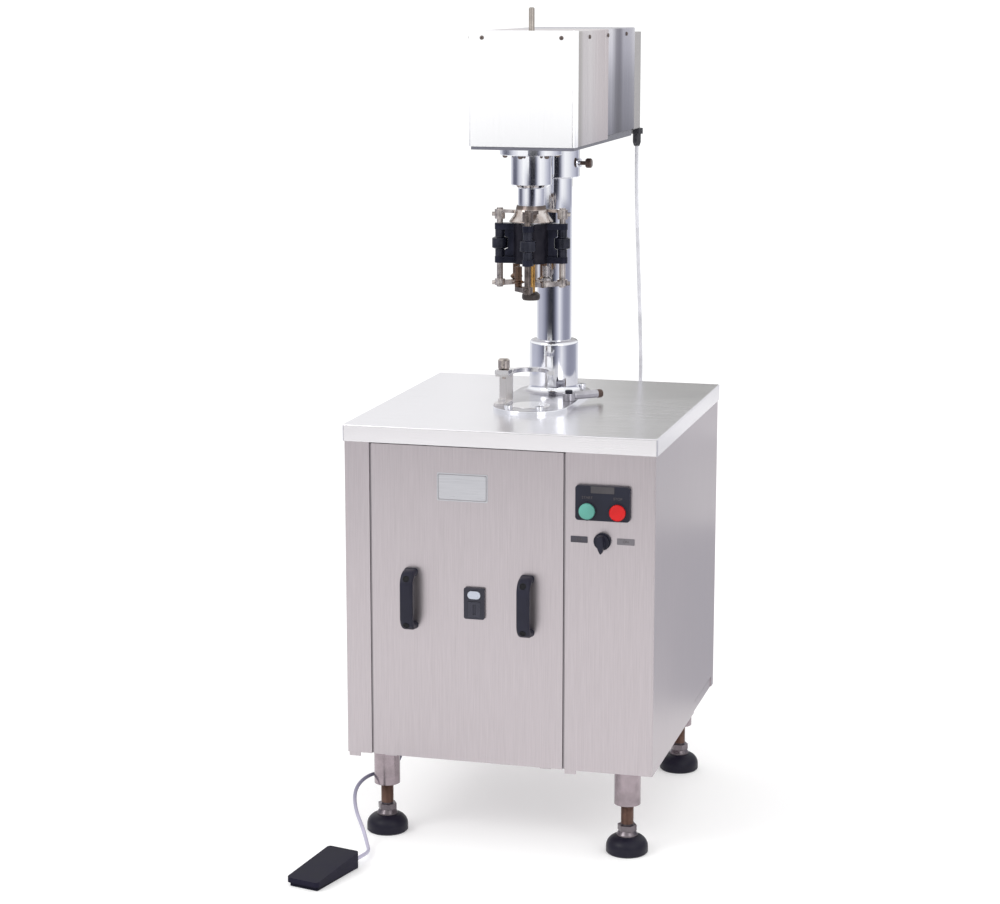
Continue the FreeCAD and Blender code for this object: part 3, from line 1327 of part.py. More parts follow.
def foot_pedal():
    """Sloping cover with a skirt at the toe and both sides, open at the heel."""
    toe = SWITCH_TOE + PEDAL_GAP
    under = SWITCH_HEIGHT - SWITCH_PEDAL
    pedal = side_profile([
        (-switch_rear, PEDAL_FLOOR_GAP_TOE), (switch_rear, PEDAL_FLOOR_GAP_HEEL),
        (switch_rear, SWITCH_HEIGHT), (-switch_rear, toe + PEDAL_EDGE),
    ], SWITCH_WIDTH)
    pedal = pedal.makeFillet(7, upright_edges(pedal))
    inner = side_profile([
        (-switch_rear + PEDAL_WALL, 0), (switch_rear + 1, 0), (switch_rear + 1, under),
        (-switch_rear + PEDAL_WALL, toe),
    ], SWITCH_WIDTH - 2 * PEDAL_WALL)
    inner = inner.makeFillet(4, [e for e in upright_edges(inner) if e.Vertexes[0].Y < 0])
    bead = hinge_bead(PEDAL_HINGE_RADIUS, SWITCH_WIDTH - 2 * (PEDAL_WALL + PEDAL_SIDE_GAP))
    return on_floor(fused(pedal.cut(inner), bead))


# Cables and glands
def cable_glands():
    radius = GLAND_DIAMETER / 2
    x, y, z = FOOT_ROUTE[0]
    foot = turned([(0, z), (radius - 3, z), (radius, z + 5), (radius, BODY_BOTTOM), (0, BODY_BOTTOM)], x, y)
    back = []
    mains = (-half_width + WALL + POST_INSET, 0, BODY_BOTTOM + POST_INSET)
    for gx, gy, gz in (MOTOR_ROUTE[-1], mains):
        profile = [
            (0, 0), (radius, 0), (radius, GLAND_LENGTH - 5), (radius - 3, GLAND_LENGTH), (0, GLAND_LENGTH),
        ]
        back.append(turned_along(profile, (gx, half_depth, gz), BACK))
    return compound([foot] + back)


def cable(route, diameter, name):
    """Tube along straight runs that are joined by tangent arcs."""
    points = [V(*p) for p in route]
    edges = []
    start = points[0]
    tightest = None
    for before, corner, after in zip(points, points[1:], points[2:]):
        a = (before - corner)
        b = (after - corner)
        setback = 0.45 * min(a.Length, b.Length)
        a.normalize()
        b.normalize()
        half = a.getAngle(b) / 2
        radius = setback * math.tan(half)
        tightest = radius if tightest is None else min(tightest, radius)
        inward = (a + b).normalize()
        middle = corner + inward * (radius / math.sin(half) - radius)
        arc_start = corner + a * setback
        arc_end = corner + b * setback
        edges.append(Part.LineSegment(start, arc_start).toShape())
        edges.append(Part.Arc(arc_start, middle, arc_end).toShape())
        start = arc_end
    edges.append(Part.LineSegment(start, points[-1]).toShape())
    path = Part.Wire(edges)
    section = Part.Wire(Part.makeCircle(diameter / 2, points[0], points[1] - points[0]))
    tube = path.makePipeShell([section], True, False)
    ideal = math.pi * diameter ** 2 / 4 * path.Length
    print(name, "length", round(path.Length), "tightest radius", round(tightest, 1),
          "volume share", round(tube.Volume / ideal, 4))
    return tube


NODES = {
    "corner_posts": corner_posts(),
    "levelling_screws": levelling_screws(),
    "foot_pads": foot_pads(),
    "bottom_plate": bottom_plate(),
    "left_side_panel": left_side_panel(),
    "right_side_panel": right_side_panel(),
    "back_panel": back_panel(),
    "control_panel": control_panel(),
    "front_panel": front_panel(),
    "table_top": table_top(),
    "machine_plate": machine_plate(),
    "panel_handles": panel_handles(),
    "latch_body": latch_body(),
    "latch_paddle": latch_paddle(),
    "latch_button": latch_button(),
    "button_station": button_station(),
    "start_button": push_button(-1),
    "stop_button": push_button(1),
    "selector_knob": selector_knob(),
    "column": column(),
    "column_base": column_base(),
    "head_collar": head_collar(),
    "collar_knob": collar_knob(),
    "head_plate": head_plate(),
    "front_cover": front_cover(),
    "middle_casing": middle_casing(),
    "rear_cover": rear_cover(),
    "rear_end_cover": rear_end_cover(),
    "head_motor": head_motor(),
    "motor_pulley": motor_pulley(),
    "drive_belt": drive_belt(),
    "spindle_housing": spindle_housing(),
    "spindle_bearings": spindle_bearings(),
    "spindle": spindle(),
    "cam_cone": cam_cone(),
    "arm_carrier": arm_carrier(),
    "pressure_block": pressure_block(),
    "pressure_shaft": pressure_shaft(),
    "pressure_rod": pressure_rod(),
    "lift_guide": lift_guide(),
    "bottle_platform": bottle_platform(),
    "lift_cam": lift_cam(),
    "lift_gearmotor": lift_gearmotor(),
    "guide_bracket": guide_bracket(),
    "bottle_guide": bottle_guide(),
    "guide_knob": guide_knob(),
    "clamp_lever": clamp_lever(),
    "foot_switch_base": foot_switch_base(),
    "foot_pedal": foot_pedal(),
    "cable_glands": cable_glands(),
    "foot_cable": cable(FOOT_ROUTE, FOOT_CABLE_DIAMETER, "foot_cable"),
    "motor_cable": cable(MOTOR_ROUTE, MOTOR_CABLE_DIAMETER, "motor_cable"),
}
for number, angle in enumerate(ARM_ANGLES, 1):
    if number % 2:
        bar_drop, disc, rise = THREAD_BAR_DROP, THREAD_DISC, THREAD_DISC_RISE
    else:
        bar_drop, disc, rise = PILFER_BAR_DROP, PILFER_DISC, PILFER_DISC_RISE
    NODES["roller_arm_%d" % number] = roller_arm(angle, bar_drop)
    NODES["roller_%d" % number] = roller(angle, bar_drop, disc, rise)

# The origin is the floor point under the centre of the plan box, cables left out
CABLES = ("foot_cable", "motor_cable")
plan = FreeCAD.BoundBox()
for name, solid in NODES.items():
    if name not in CABLES:
        plan.add(solid.BoundBox)
shift = V(-plan.Center.x, -plan.Center.y, 0)
print("nodes", len(NODES), "table centre moved by", round(shift.x, 3), round(shift.y, 3))

os.makedirs("parts", exist_ok=True)
for name, solid in NODES.items():
    placed = solid.copy()
    placed.translate(shift)
    if not placed.isValid():
        print("not valid:", name)
    placed.exportStep("parts/%s.step" % name)
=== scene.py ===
import json
import math

import bmesh
import bpy
from mathutils import Matrix, Vector

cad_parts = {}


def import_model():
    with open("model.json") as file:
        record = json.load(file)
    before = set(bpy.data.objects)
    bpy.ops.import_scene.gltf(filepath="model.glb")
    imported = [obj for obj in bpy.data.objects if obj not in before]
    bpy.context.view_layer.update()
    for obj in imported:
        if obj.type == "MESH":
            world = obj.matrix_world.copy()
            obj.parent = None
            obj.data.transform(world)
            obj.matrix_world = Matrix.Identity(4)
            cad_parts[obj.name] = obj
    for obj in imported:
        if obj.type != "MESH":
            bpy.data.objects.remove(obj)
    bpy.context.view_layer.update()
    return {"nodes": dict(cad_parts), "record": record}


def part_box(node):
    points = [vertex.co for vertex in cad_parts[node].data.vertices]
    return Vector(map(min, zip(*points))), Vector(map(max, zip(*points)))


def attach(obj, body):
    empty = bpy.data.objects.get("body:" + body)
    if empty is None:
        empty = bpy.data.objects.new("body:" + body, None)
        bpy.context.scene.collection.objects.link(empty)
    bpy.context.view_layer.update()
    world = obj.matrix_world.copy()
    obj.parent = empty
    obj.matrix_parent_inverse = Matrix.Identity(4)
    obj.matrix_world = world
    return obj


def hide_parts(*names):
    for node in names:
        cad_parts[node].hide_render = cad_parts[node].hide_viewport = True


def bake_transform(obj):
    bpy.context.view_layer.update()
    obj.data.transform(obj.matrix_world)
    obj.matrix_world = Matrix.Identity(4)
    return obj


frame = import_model()
NODES = frame["nodes"]
RECORD = frame["record"]
SLOT_OF = {s["node"]: s["material_slot"] for s in RECORD["subparts"]}

X, Y, Z = Vector((1, 0, 0)), Vector((0, 1, 0)), Vector((0, 0, 1))
MM = 0.001

# Millimetres from the centre of the table, where the part's own drawing starts
COLUMN_Y = 113
SPINDLE_Y = -73
FRONT = -317
column_low, column_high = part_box("column")
SHIFT_X = (column_low.x + column_high.x) / 2
SHIFT_Y = (column_low.y + column_high.y) / 2 - COLUMN_Y / 1000


def at(x, y, z):
    """Point of the scene, in metres, for a place on the drawing, in millimetres."""
    return Vector((x / 1000 + SHIFT_X, y / 1000 + SHIFT_Y, z / 1000))


# Materials
NOISE_LOW, NOISE_HIGH = 0.3, 0.7


class Nodes:
    """Small helper that builds one material's node tree."""

    def __init__(self, name):
        self.mat = bpy.data.materials.new(name)
        self.mat.use_nodes = True
        self.tree = self.mat.node_tree
        self.bsdf = self.tree.nodes["Principled BSDF"]
        self.coord = self.tree.nodes.new("ShaderNodeTexCoord").outputs["Object"]
        self.round = None

    def new(self, kind, **settings):
        node = self.tree.nodes.new(kind)
        for key, value in settings.items():
            setattr(node, key, value)
        return node

    def link(self, source, target):
        self.tree.links.new(source, target)

    def feed(self, node, sockets):
        """Gives each of the node's inputs a link, a colour or a number."""
        for key, value in sockets.items():
            if isinstance(value, bpy.types.NodeSocket):
                self.link(value, node.inputs[key])
            elif isinstance(value, tuple):
                node.inputs[key].default_value = (*value, 1.0)
            else:
                node.inputs[key].default_value = value

    def scaled(self, scale):
        node = self.new("ShaderNodeMapping")
        node.inputs["Scale"].default_value = scale
        self.link(self.coord, node.inputs["Vector"])
        return node.outputs["Vector"]

    def noise(self, scale, detail=3.0, vector=None, roughness=0.5):
        node = self.new("ShaderNodeTexNoise")
        self.feed(node, {"Scale": scale, "Detail": detail, "Roughness": roughness})
        self.link(vector or self.coord, node.inputs["Vector"])
        return node.outputs["Fac"]

    def ramp(self, source, stops):
        node = self.new("ShaderNodeValToRGB")
        elements = node.color_ramp.elements
        while len(elements) < len(stops):
            elements.new(0.5)
        for element, (position, color) in zip(elements, stops):
            element.position = position
            element.color = (*color, 1.0)
        self.link(source, node.inputs["Fac"])
        return node.outputs["Color"]

    def shades(self, source, dark, light):
        """Colour that a noise carries from dark to light."""
        return self.ramp(source, ((NOISE_LOW, dark), (NOISE_HIGH, light)))

    def remap(self, source, low, high, out_low, out_high):
        node = self.new("ShaderNodeMapRange")
        self.feed(node, {
            "Value": source, "From Min": low, "From Max": high, "To Min": out_low, "To Max": out_high,
        })
        return node.outputs["Result"]

    def swing(self, source, out_low, out_high):
        """Number that a noise carries from low to high."""
        return self.remap(source, NOISE_LOW, NOISE_HIGH, out_low, out_high)

    def mix(self, factor, a, b, blend="MIX"):
        node = self.new("ShaderNodeMix", data_type="RGBA", blend_type=blend)
        self.feed(node, {0: factor, 6: a, 7: b})
        return node.outputs[2]

    def math(self, operation, *values):
        node = self.new("ShaderNodeMath", operation=operation)
        self.feed(node, dict(enumerate(values)))
        return node.outputs[0]

    def half_and_half(self, a, b):
        return self.math("ADD", self.math("MULTIPLY", a, 0.5), self.math("MULTIPLY", b, 0.5))

    def rounded(self, radius):
        """Normal that runs round the edges, so that they catch the light."""
        if self.round is None:
            self.round = self.new("ShaderNodeBevel", samples=4)
            self.round.inputs["Radius"].default_value = radius
        return self.round.outputs["Normal"]

    def bump(self, height, strength, distance, radius=0.0006):
        node = self.new("ShaderNodeBump")
        self.feed(node, {
            "Strength": strength, "Distance": distance, "Height": height, "Normal": self.rounded(radius),
        })
        self.link(node.outputs["Normal"], self.bsdf.inputs["Normal"])

    def edge(self, radius=0.0006):
        """How far the rounded normal leaves the flat one: 0 on faces, 1 along worn edges."""
        flat = self.new("ShaderNodeNewGeometry").outputs["Normal"]
        dot = self.new("ShaderNodeVectorMath", operation="DOT_PRODUCT")
        self.feed(dot, {0: self.rounded(radius), 1: flat})
        return self.remap(dot.outputs["Value"], 0.99, 0.80, 0.0, 1.0)

    def axis(self, name, vector=None):
        split = self.new("ShaderNodeSeparateXYZ")
        self.link(vector or self.coord, split.inputs[0])
        return split.outputs[name]

    def upward(self):
        """How far the face looks up."""
        return self.axis("Z", self.new("ShaderNodeNewGeometry").outputs["Normal"])

    def step(self, source, level, width=0.0005):
        """0 below the level, 1 above it."""
        return self.remap(source, level - width / 2, level + width / 2, 0.0, 1.0)

    def below(self, source, level, width=0.0005):
        """1 below the level, 0 above it."""
        return self.math("SUBTRACT", 1.0, self.step(source, level, width))

    def constant(self, **values):
        for key, value in values.items():
            self.bsdf.inputs[key.replace("_", " ")].default_value = value

    def finish(self, color, roughness):
        """Links the base colour and the roughness, and gives the material."""
        self.link(color, self.bsdf.inputs["Base Color"])
        self.link(roughness, self.bsdf.inputs["Roughness"])
        return self.mat


def scaled_color(color, factor):
    return tuple(min(1.0, c * factor) for c in color)


def brushed(name, dark, light, stretch, rough, spread, grain=0.12, smudge=0.06):
    """Brushed sheet: fine streaks along one axis, soft cloudy tone and faint smudges."""
    n = Nodes(name)
    streak = n.noise(1.0, 4.0, n.scaled(stretch), 0.6)
    cloud = n.noise(2.6, 3.0)
    fine = n.noise(1.0, 2.0, n.scaled(tuple(s * 2.7 for s in stretch)), 0.5)
    tone = n.half_and_half(streak, fine)
    color = n.ramp(n.swing(tone, 0.0, 1.0), ((0.0, dark), (1.0, light)))
    shade = n.shades(cloud, (1 - smudge,) * 3, (1.0, 1.0, 1.0))
    n.constant(Metallic=1.0)
    n.bump(tone, grain, 0.0004)
    roughness = n.math("ADD", n.swing(tone, rough - spread, rough + spread), n.swing(cloud, -0.02, 0.04))
    return n.finish(n.mix(1.0, color, shade, "MULTIPLY"), roughness)


def turned_metal(name, color, rough, tint=0.08):
    """Turned or plated metal: fine rings up its length and slight uneven polish."""
    n = Nodes(name)
    rings = n.noise(1.0, 2.0, n.scaled((6.0, 6.0, 900.0)), 0.5)
    cloud = n.noise(30.0, 3.0)
    dark = tuple(c * (1 - tint) for c in color)
    n.constant(Metallic=1.0)
    n.bump(rings, 0.05, 0.0002)
    return n.finish(n.ramp(cloud, ((0.35, dark), (0.65, color))), n.swing(rings, rough * 0.8, rough * 1.25))


def chrome_plate(name, color, rough=0.06):
    n = Nodes(name)
    cloud = n.noise(14.0, 4.0)
    n.constant(Metallic=1.0)
    n.bump(n.noise(400.0, 2.0), 0.015, 0.0002)
    plate = n.shades(cloud, scaled_color(color, 0.95), color)
    return n.finish(plate, n.swing(cloud, rough * 0.7, rough * 1.6))


def plastic(name, color, rough, grain_scale=1400.0, grain=0.12, worn=(0.0, 0.0, 0.0), coat=0.0, gloss=0.25):
    """Moulded plastic or rubber with a fine grain, uneven sheen and lighter rubbed edges."""
    n = Nodes(name)
    cloud = n.noise(22.0, 4.0)
    base = n.shades(cloud, scaled_color(color, 0.8), scaled_color(color, 1.15))
    rubbed = tuple(min(1.0, c + w) for c, w in zip(color, worn))
    n.constant(Metallic=0.0, Specular_IOR_Level=gloss, Coat_Weight=coat, Coat_Roughness=0.15)
    n.bump(n.noise(grain_scale, 2.0), grain, 0.0002)
    return n.finish(n.mix(n.edge(), base, rubbed), n.swing(cloud, rough - 0.06, rough + 0.08))


def painted(name, color, rough, metallic=0.0, worn=0.1):
    """Painted or blackened metal: orange-peel skin and rubbed edges."""
    n = Nodes(name)
    cloud = n.noise(18.0, 4.0)
    base = n.shades(cloud, scaled_color(color, 0.82), scaled_color(color, 1.12))
    rubbed = tuple(min(1.0, c + worn) for c in color)
    n.constant(Metallic=metallic)
    n.bump(n.noise(260.0, 2.0), 0.06, 0.0003)
    return n.finish(n.mix(n.edge(), base, rubbed), n.swing(cloud, rough - 0.05, rough + 0.1))


def blackened(n, cloud, dark, light, rubbed):
    """Blackened steel whose edges are rubbed half bare."""
    return n.mix(n.math("MULTIPLY", n.edge(WORN_EDGE), 0.5), n.shades(cloud, dark, light), rubbed)


def arm_metal(name, low_level, high_level, dull=(0.24, 0.21, 0.20), bright=(0.62, 0.57, 0.54)):
    """Blackened sleeve between the carrier's plates, bare steel levers and shafts above and below them."""
    n = Nodes(name)
    height = n.axis("Z")
    bare = n.math("MAXIMUM", n.step(height, high_level), n.below(height, low_level))
    cloud = n.noise(60.0, 4.0)
    steel = n.ramp(cloud, ((NOISE_LOW, dull), (0.65, bright)))
    sleeve = blackened(n, cloud, (0.008, 0.009, 0.016), (0.018, 0.019, 0.034), (0.16, 0.16, 0.20))
    n.link(n.remap(bare, 0.0, 1.0, 0.35, 1.0), n.bsdf.inputs["Metallic"])
    n.bump(n.noise(300.0, 2.0), 0.05, 0.0002, WORN_EDGE)
    return n.finish(n.mix(bare, sleeve, steel), n.swing(cloud, 0.24, 0.38))


def carrier_metal(name, axis_x, axis_y, hub_radius):
    """Blackened carrier, a little browner on the upright faces of its hub."""
    n = Nodes(name)
    dx = n.math("SUBTRACT", n.axis("X"), axis_x)
    dy = n.math("SUBTRACT", n.axis("Y"), axis_y)
    radius = n.math("SQRT", n.math("ADD", n.math("MULTIPLY", dx, dx), n.math("MULTIPLY", dy, dy)))
    hub = n.below(radius, hub_radius + 0.0008)
    upright = n.below(n.math("ABSOLUTE", n.upward()), 0.5, 0.3)
    cloud = n.noise(45.0, 4.0)
    bronze = n.shades(cloud, (0.008, 0.008, 0.014), (0.020, 0.018, 0.026))
    worn = blackened(n, cloud, (0.008, 0.009, 0.018), (0.020, 0.021, 0.038), (0.15, 0.15, 0.20))
    n.constant(Metallic=0.4, Specular_IOR_Level=0.2)
    n.bump(n.noise(260.0, 2.0), 0.06, 0.0002, WORN_EDGE)
    return n.finish(n.mix(n.math("MULTIPLY", hub, upright), worn, bronze), n.swing(cloud, 0.26, 0.4))


def base_metal(name):
    """Chrome whose flat upper faces are darker and rougher."""
    n = Nodes(name)
    flat = n.step(n.upward(), 0.7, 0.3)
    cloud = n.noise(18.0, 4.0)
    bright = n.shades(cloud, (0.80, 0.81, 0.85), (0.86, 0.87, 0.91))
    dull = n.shades(cloud, (0.30, 0.29, 0.32), (0.46, 0.45, 0.49))
    n.constant(Metallic=1.0)
    n.bump(n.noise(400.0, 2.0), 0.015, 0.0002)
    roughness = n.math("ADD", n.remap(flat, 0.0, 1.0, 0.05, 0.17), n.swing(cloud, 0.0, 0.04))
    return n.finish(n.mix(flat, bright, dull), roughness)


def table_metal(name, top_level):
    """Satin table top with cloudy polish, and a painted highlight that makes its folded edge brighter."""
    n = Nodes(name)
    streak = n.noise(1.0, 3.0, n.scaled((7.0, 420.0, 420.0)), 0.55)
    cloud = n.noise(3.2, 4.0)
    top = n.shades(streak, (0.73, 0.72, 0.75), (0.79, 0.78, 0.81))
    # Painted highlight: the folded edge is a lighter copy of the top
    lip_highlight = n.shades(streak, (0.80, 0.78, 0.80), (0.87, 0.85, 0.87))
    on_top = n.step(n.axis("Z"), top_level - 0.0012, 0.001)
    shade = n.shades(cloud, (0.95, 0.95, 0.95), (1.0, 1.0, 1.0))
    n.constant(Metallic=1.0)
    n.bump(streak, 0.05, 0.0003, 0.001)
    color = n.mix(1.0, n.mix(on_top, lip_highlight, top), shade, "MULTIPLY")
    return n.finish(color, n.remap(n.half_and_half(streak, cloud), 0.35, 0.65, 0.22, 0.28))


def painted_reflection_metal(name, stops, node, rough, rise=None, edge=(1.0, 1.0, 1.0, 1.0)):
    """Sheet with painted reflections: soft upright bands of light and dark from front to back, and painted
    shade that changes with height, over fine brushed streaks.
    """
    n = Nodes(name)
    low_corner, high_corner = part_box(node)
    streak = n.noise(1.0, 3.0, n.scaled((1.0, 260.0, 3.0)), 0.5)
    along = n.remap(n.axis("Y"), low_corner.y, high_corner.y, 0.0, 1.0)
    # Painted reflection bands along the sheet; below, painted shade that changes with height
    color = n.ramp(n.math("ADD", along, n.swing(streak, -0.02, 0.02)), stops)
    if rise:
        height = n.remap(n.axis("Z"), low_corner.z, high_corner.z, 0.0, 1.0)
        color = n.mix(1.0, color, n.ramp(height, rise), "MULTIPLY")
    n.constant(Metallic=1.0, Specular_Tint=edge)
    n.bump(streak, 0.04, 0.0003)
    return n.finish(color, n.swing(streak, rough * 0.8, rough * 1.3))


def cone_metal(name, low_level, high_level):
    """Worn steel cone, with painted shade round its neck where it meets the spindle, and darker along its
    lower rim.
    """
    n = Nodes(name)
    cloud = n.noise(60.0, 4.0)
    height = n.remap(n.axis("Z"), low_level, high_level, 0.0, 1.0)
    worn = n.ramp(cloud, ((0.35, (0.50, 0.44, 0.41)), (0.65, (0.70, 0.66, 0.64))))
    # Painted shade round the neck at the top; the lower rim is darker too
    neck_shade_and_rim = n.ramp(n.math("ADD", height, n.swing(cloud, -0.03, 0.03)), CONE_NECK_SHADE_AND_RIM)
    n.constant(Metallic=1.0, Specular_Tint=(0.6, 0.6, 0.6, 1.0))
    n.bump(cloud, 0.05, 0.0002)
    return n.finish(n.mix(1.0, worn, neck_shade_and_rim, "MULTIPLY"), n.swing(cloud, 0.20, 0.32))


def end_cover_paint(name, level):
    """Grey painted end cover, with its cable gland below the given level in black."""
    n = Nodes(name)
    gland = n.below(n.axis("Z"), level, 0.0006)
    cloud = n.noise(18.0, 4.0)
    paint = n.shades(cloud, (0.26, 0.25, 0.255), (0.35, 0.335, 0.34))
    black = n.shades(cloud, (0.018, 0.018, 0.024), (0.03, 0.03, 0.036))
    n.link(n.remap(gland, 0.0, 1.0, 0.5, 0.0), n.bsdf.inputs["Metallic"])
    n.bump(n.noise(260.0, 2.0), 0.06, 0.0003)
    return n.finish(n.mix(gland, paint, black), n.swing(cloud, 0.32, 0.44))


def cable_sheath(name, floor_lit_tone, high_tone, low_level, high_level):
    """Cable sheath with painted light: lighter where it lies near the bright floor."""
    n = Nodes(name)
    height = n.remap(n.axis("Z"), low_level, high_level, 0.0, 1.0)
    cloud = n.noise(60.0, 3.0)
    # Painted light from the floor: the colour lightens towards the floor
    tone = n.ramp(height, ((0.0, floor_lit_tone), (1.0, high_tone)))
    shade = n.shades(cloud, (0.9, 0.9, 0.9), (1.0, 1.0, 1.0))
    n.constant(Metallic=0.0, Specular_IOR_Level=0.25)
    n.bump(n.noise(2000.0, 2.0), 0.05, 0.0002)
    return n.finish(n.mix(1.0, tone, shade, "MULTIPLY"), n.swing(cloud, 0.34, 0.44))


VERTICAL = (520.0, 520.0, 7.0)
LEVEL = (9.0, 500.0, 500.0)
WORN_EDGE = 0.0008
CARRIER_HUB_RADIUS = 0.033
GLAND_HEIGHT = 0.038
# Heights between which the painted floor light fades on the foot cable
CABLE_FLOOR_LIGHT_LEVELS = (0.03, 0.12)
NAVY_WORN = (0.02, 0.02, 0.03)

carrier_low, carrier_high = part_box("arm_carrier")
shaft_low, shaft_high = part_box("pressure_shaft")
cone_low, cone_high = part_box("cam_cone")
SPINDLE_X0 = (shaft_low.x + shaft_high.x) / 2
SPINDLE_Y0 = (shaft_low.y + shaft_high.y) / 2

# Place along the sheet or up it, from 0 to 1, and colour
# Painted reflections on the rear cover: light and dark upright bands, and painted shade that darkens it
# towards the bottom
REAR_PAINTED_REFLECTIONS = (
    (0.0, (0.86, 0.85, 0.88)), (0.14, (0.84, 0.83, 0.87)), (0.24, (0.40, 0.39, 0.43)),
    (0.34, (0.16, 0.15, 0.19)), (0.46, (0.18, 0.17, 0.21)), (0.56, (0.48, 0.47, 0.53)),
    (0.82, (0.54, 0.53, 0.59)), (0.92, (0.66, 0.65, 0.69)), (1.0, (0.80, 0.79, 0.82)),
)
REAR_PAINTED_SHADE_RISE = (
    (0.0, (0.22, 0.22, 0.26)), (0.14, (0.32, 0.32, 0.36)), (0.5, (0.50, 0.50, 0.54)),
    (0.8, (0.86, 0.86, 0.89)), (1.0, (1.0, 1.0, 1.0)),
)
# Painted reflections on the middle casing: light and dark upright bands
CASING_PAINTED_REFLECTIONS = (
    (0.0, (0.30, 0.28, 0.28)), (0.08, (0.31, 0.29, 0.29)), (0.18, (0.48, 0.45, 0.47)),
    (0.40, (0.51, 0.48, 0.50)), (0.65, (0.45, 0.405, 0.425)), (1.0, (0.43, 0.38, 0.40)),
)
# Painted shade round the cone's neck at the top and a darker lower rim, up the cone from 0 to 1
CONE_NECK_SHADE_AND_RIM = (
    (0.0, (0.55, 0.50, 0.47)), (0.10, (1.0, 1.0, 1.0)), (0.70, (1.0, 1.0, 1.0)), (0.78, (0.26, 0.23, 0.22)),
    (1.0, (0.20, 0.18, 0.18)),
)
MATERIALS = {
    "sheet": brushed(
        "sheet_brushed", (0.45, 0.408, 0.427), (0.565, 0.517, 0.538), VERTICAL, 0.34, 0.05, 0.08,
    ),
    "table_steel": table_metal("table_satin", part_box("table_top")[1].z),
    "polished_steel": brushed(
        "polished_sheet", (0.66, 0.65, 0.67), (0.76, 0.75, 0.77), VERTICAL, 0.20, 0.04, 0.04,
    ),
    "steel_tube": turned_metal("leg_tube", (0.38, 0.32, 0.345), 0.22, 0.3),
    "zinc": turned_metal("zinc_plated", (0.42, 0.38, 0.35), 0.34, 0.3),
    "frame_steel": painted("frame_paint", (0.12, 0.12, 0.15), 0.45),
    "black_rubber": plastic("foot_rubber", (0.008, 0.007, 0.017), 0.42, 700.0, 0.2, NAVY_WORN),
    "black_plastic": plastic("black_moulded", (0.012, 0.012, 0.024), 0.40, 1500.0, 0.14, (0.04, 0.04, 0.05)),
    "latch_metal": chrome_plate("latch_button_metal", (0.50, 0.53, 0.60), 0.26),
    "station_plastic": plastic("station_plate", (0.012, 0.013, 0.024), 0.34, 1500.0, 0.08, NAVY_WORN),
    "green_plastic": plastic(
        "green_button", (0.105, 0.34, 0.285), 0.34, 900.0, 0.02, (0.05, 0.1, 0.08), 0.15,
    ),
    "red_plastic": plastic("red_button", (0.52, 0.003, 0.004), 0.36, 900.0, 0.02, (0.1, 0.03, 0.03), 0.15),
    "chrome": chrome_plate("chrome_plating", (0.86, 0.87, 0.91)),
    "bronze_knob": painted("bronze_knob", (0.10, 0.065, 0.055), 0.35, 0.5),
    "end_cover": end_cover_paint("end_cover_grey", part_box("rear_end_cover")[0].z + GLAND_HEIGHT),
    "motor_paint": painted("motor_paint", (0.07, 0.11, 0.17), 0.4),
    "pulley_alu": turned_metal("pulley_aluminium", (0.7, 0.7, 0.72), 0.3),
    "belt_rubber": plastic("belt_rubber", (0.02, 0.02, 0.02), 0.7),
    "cone_steel": cone_metal("cone_worn", cone_low.z, cone_high.z),
    "black_steel": carrier_metal("carrier_black", SPINDLE_X0, SPINDLE_Y0, CARRIER_HUB_RADIUS),
    "brass": turned_metal("brass", (0.80, 0.46, 0.14), 0.22, 0.25),
    "arm_steel": arm_metal("arm_black_and_steel", carrier_low.z, carrier_high.z),
    "roller_steel": turned_metal("roller_steel", (0.22, 0.14, 0.10), 0.3, 0.3),
    "gland_plastic": plastic("gland_black", (0.012, 0.012, 0.012), 0.45),
    "cable_pvc": cable_sheath(
        "foot_cable_grey", (0.50, 0.48, 0.60), (0.16, 0.155, 0.22), *CABLE_FLOOR_LIGHT_LEVELS,
    ),
}
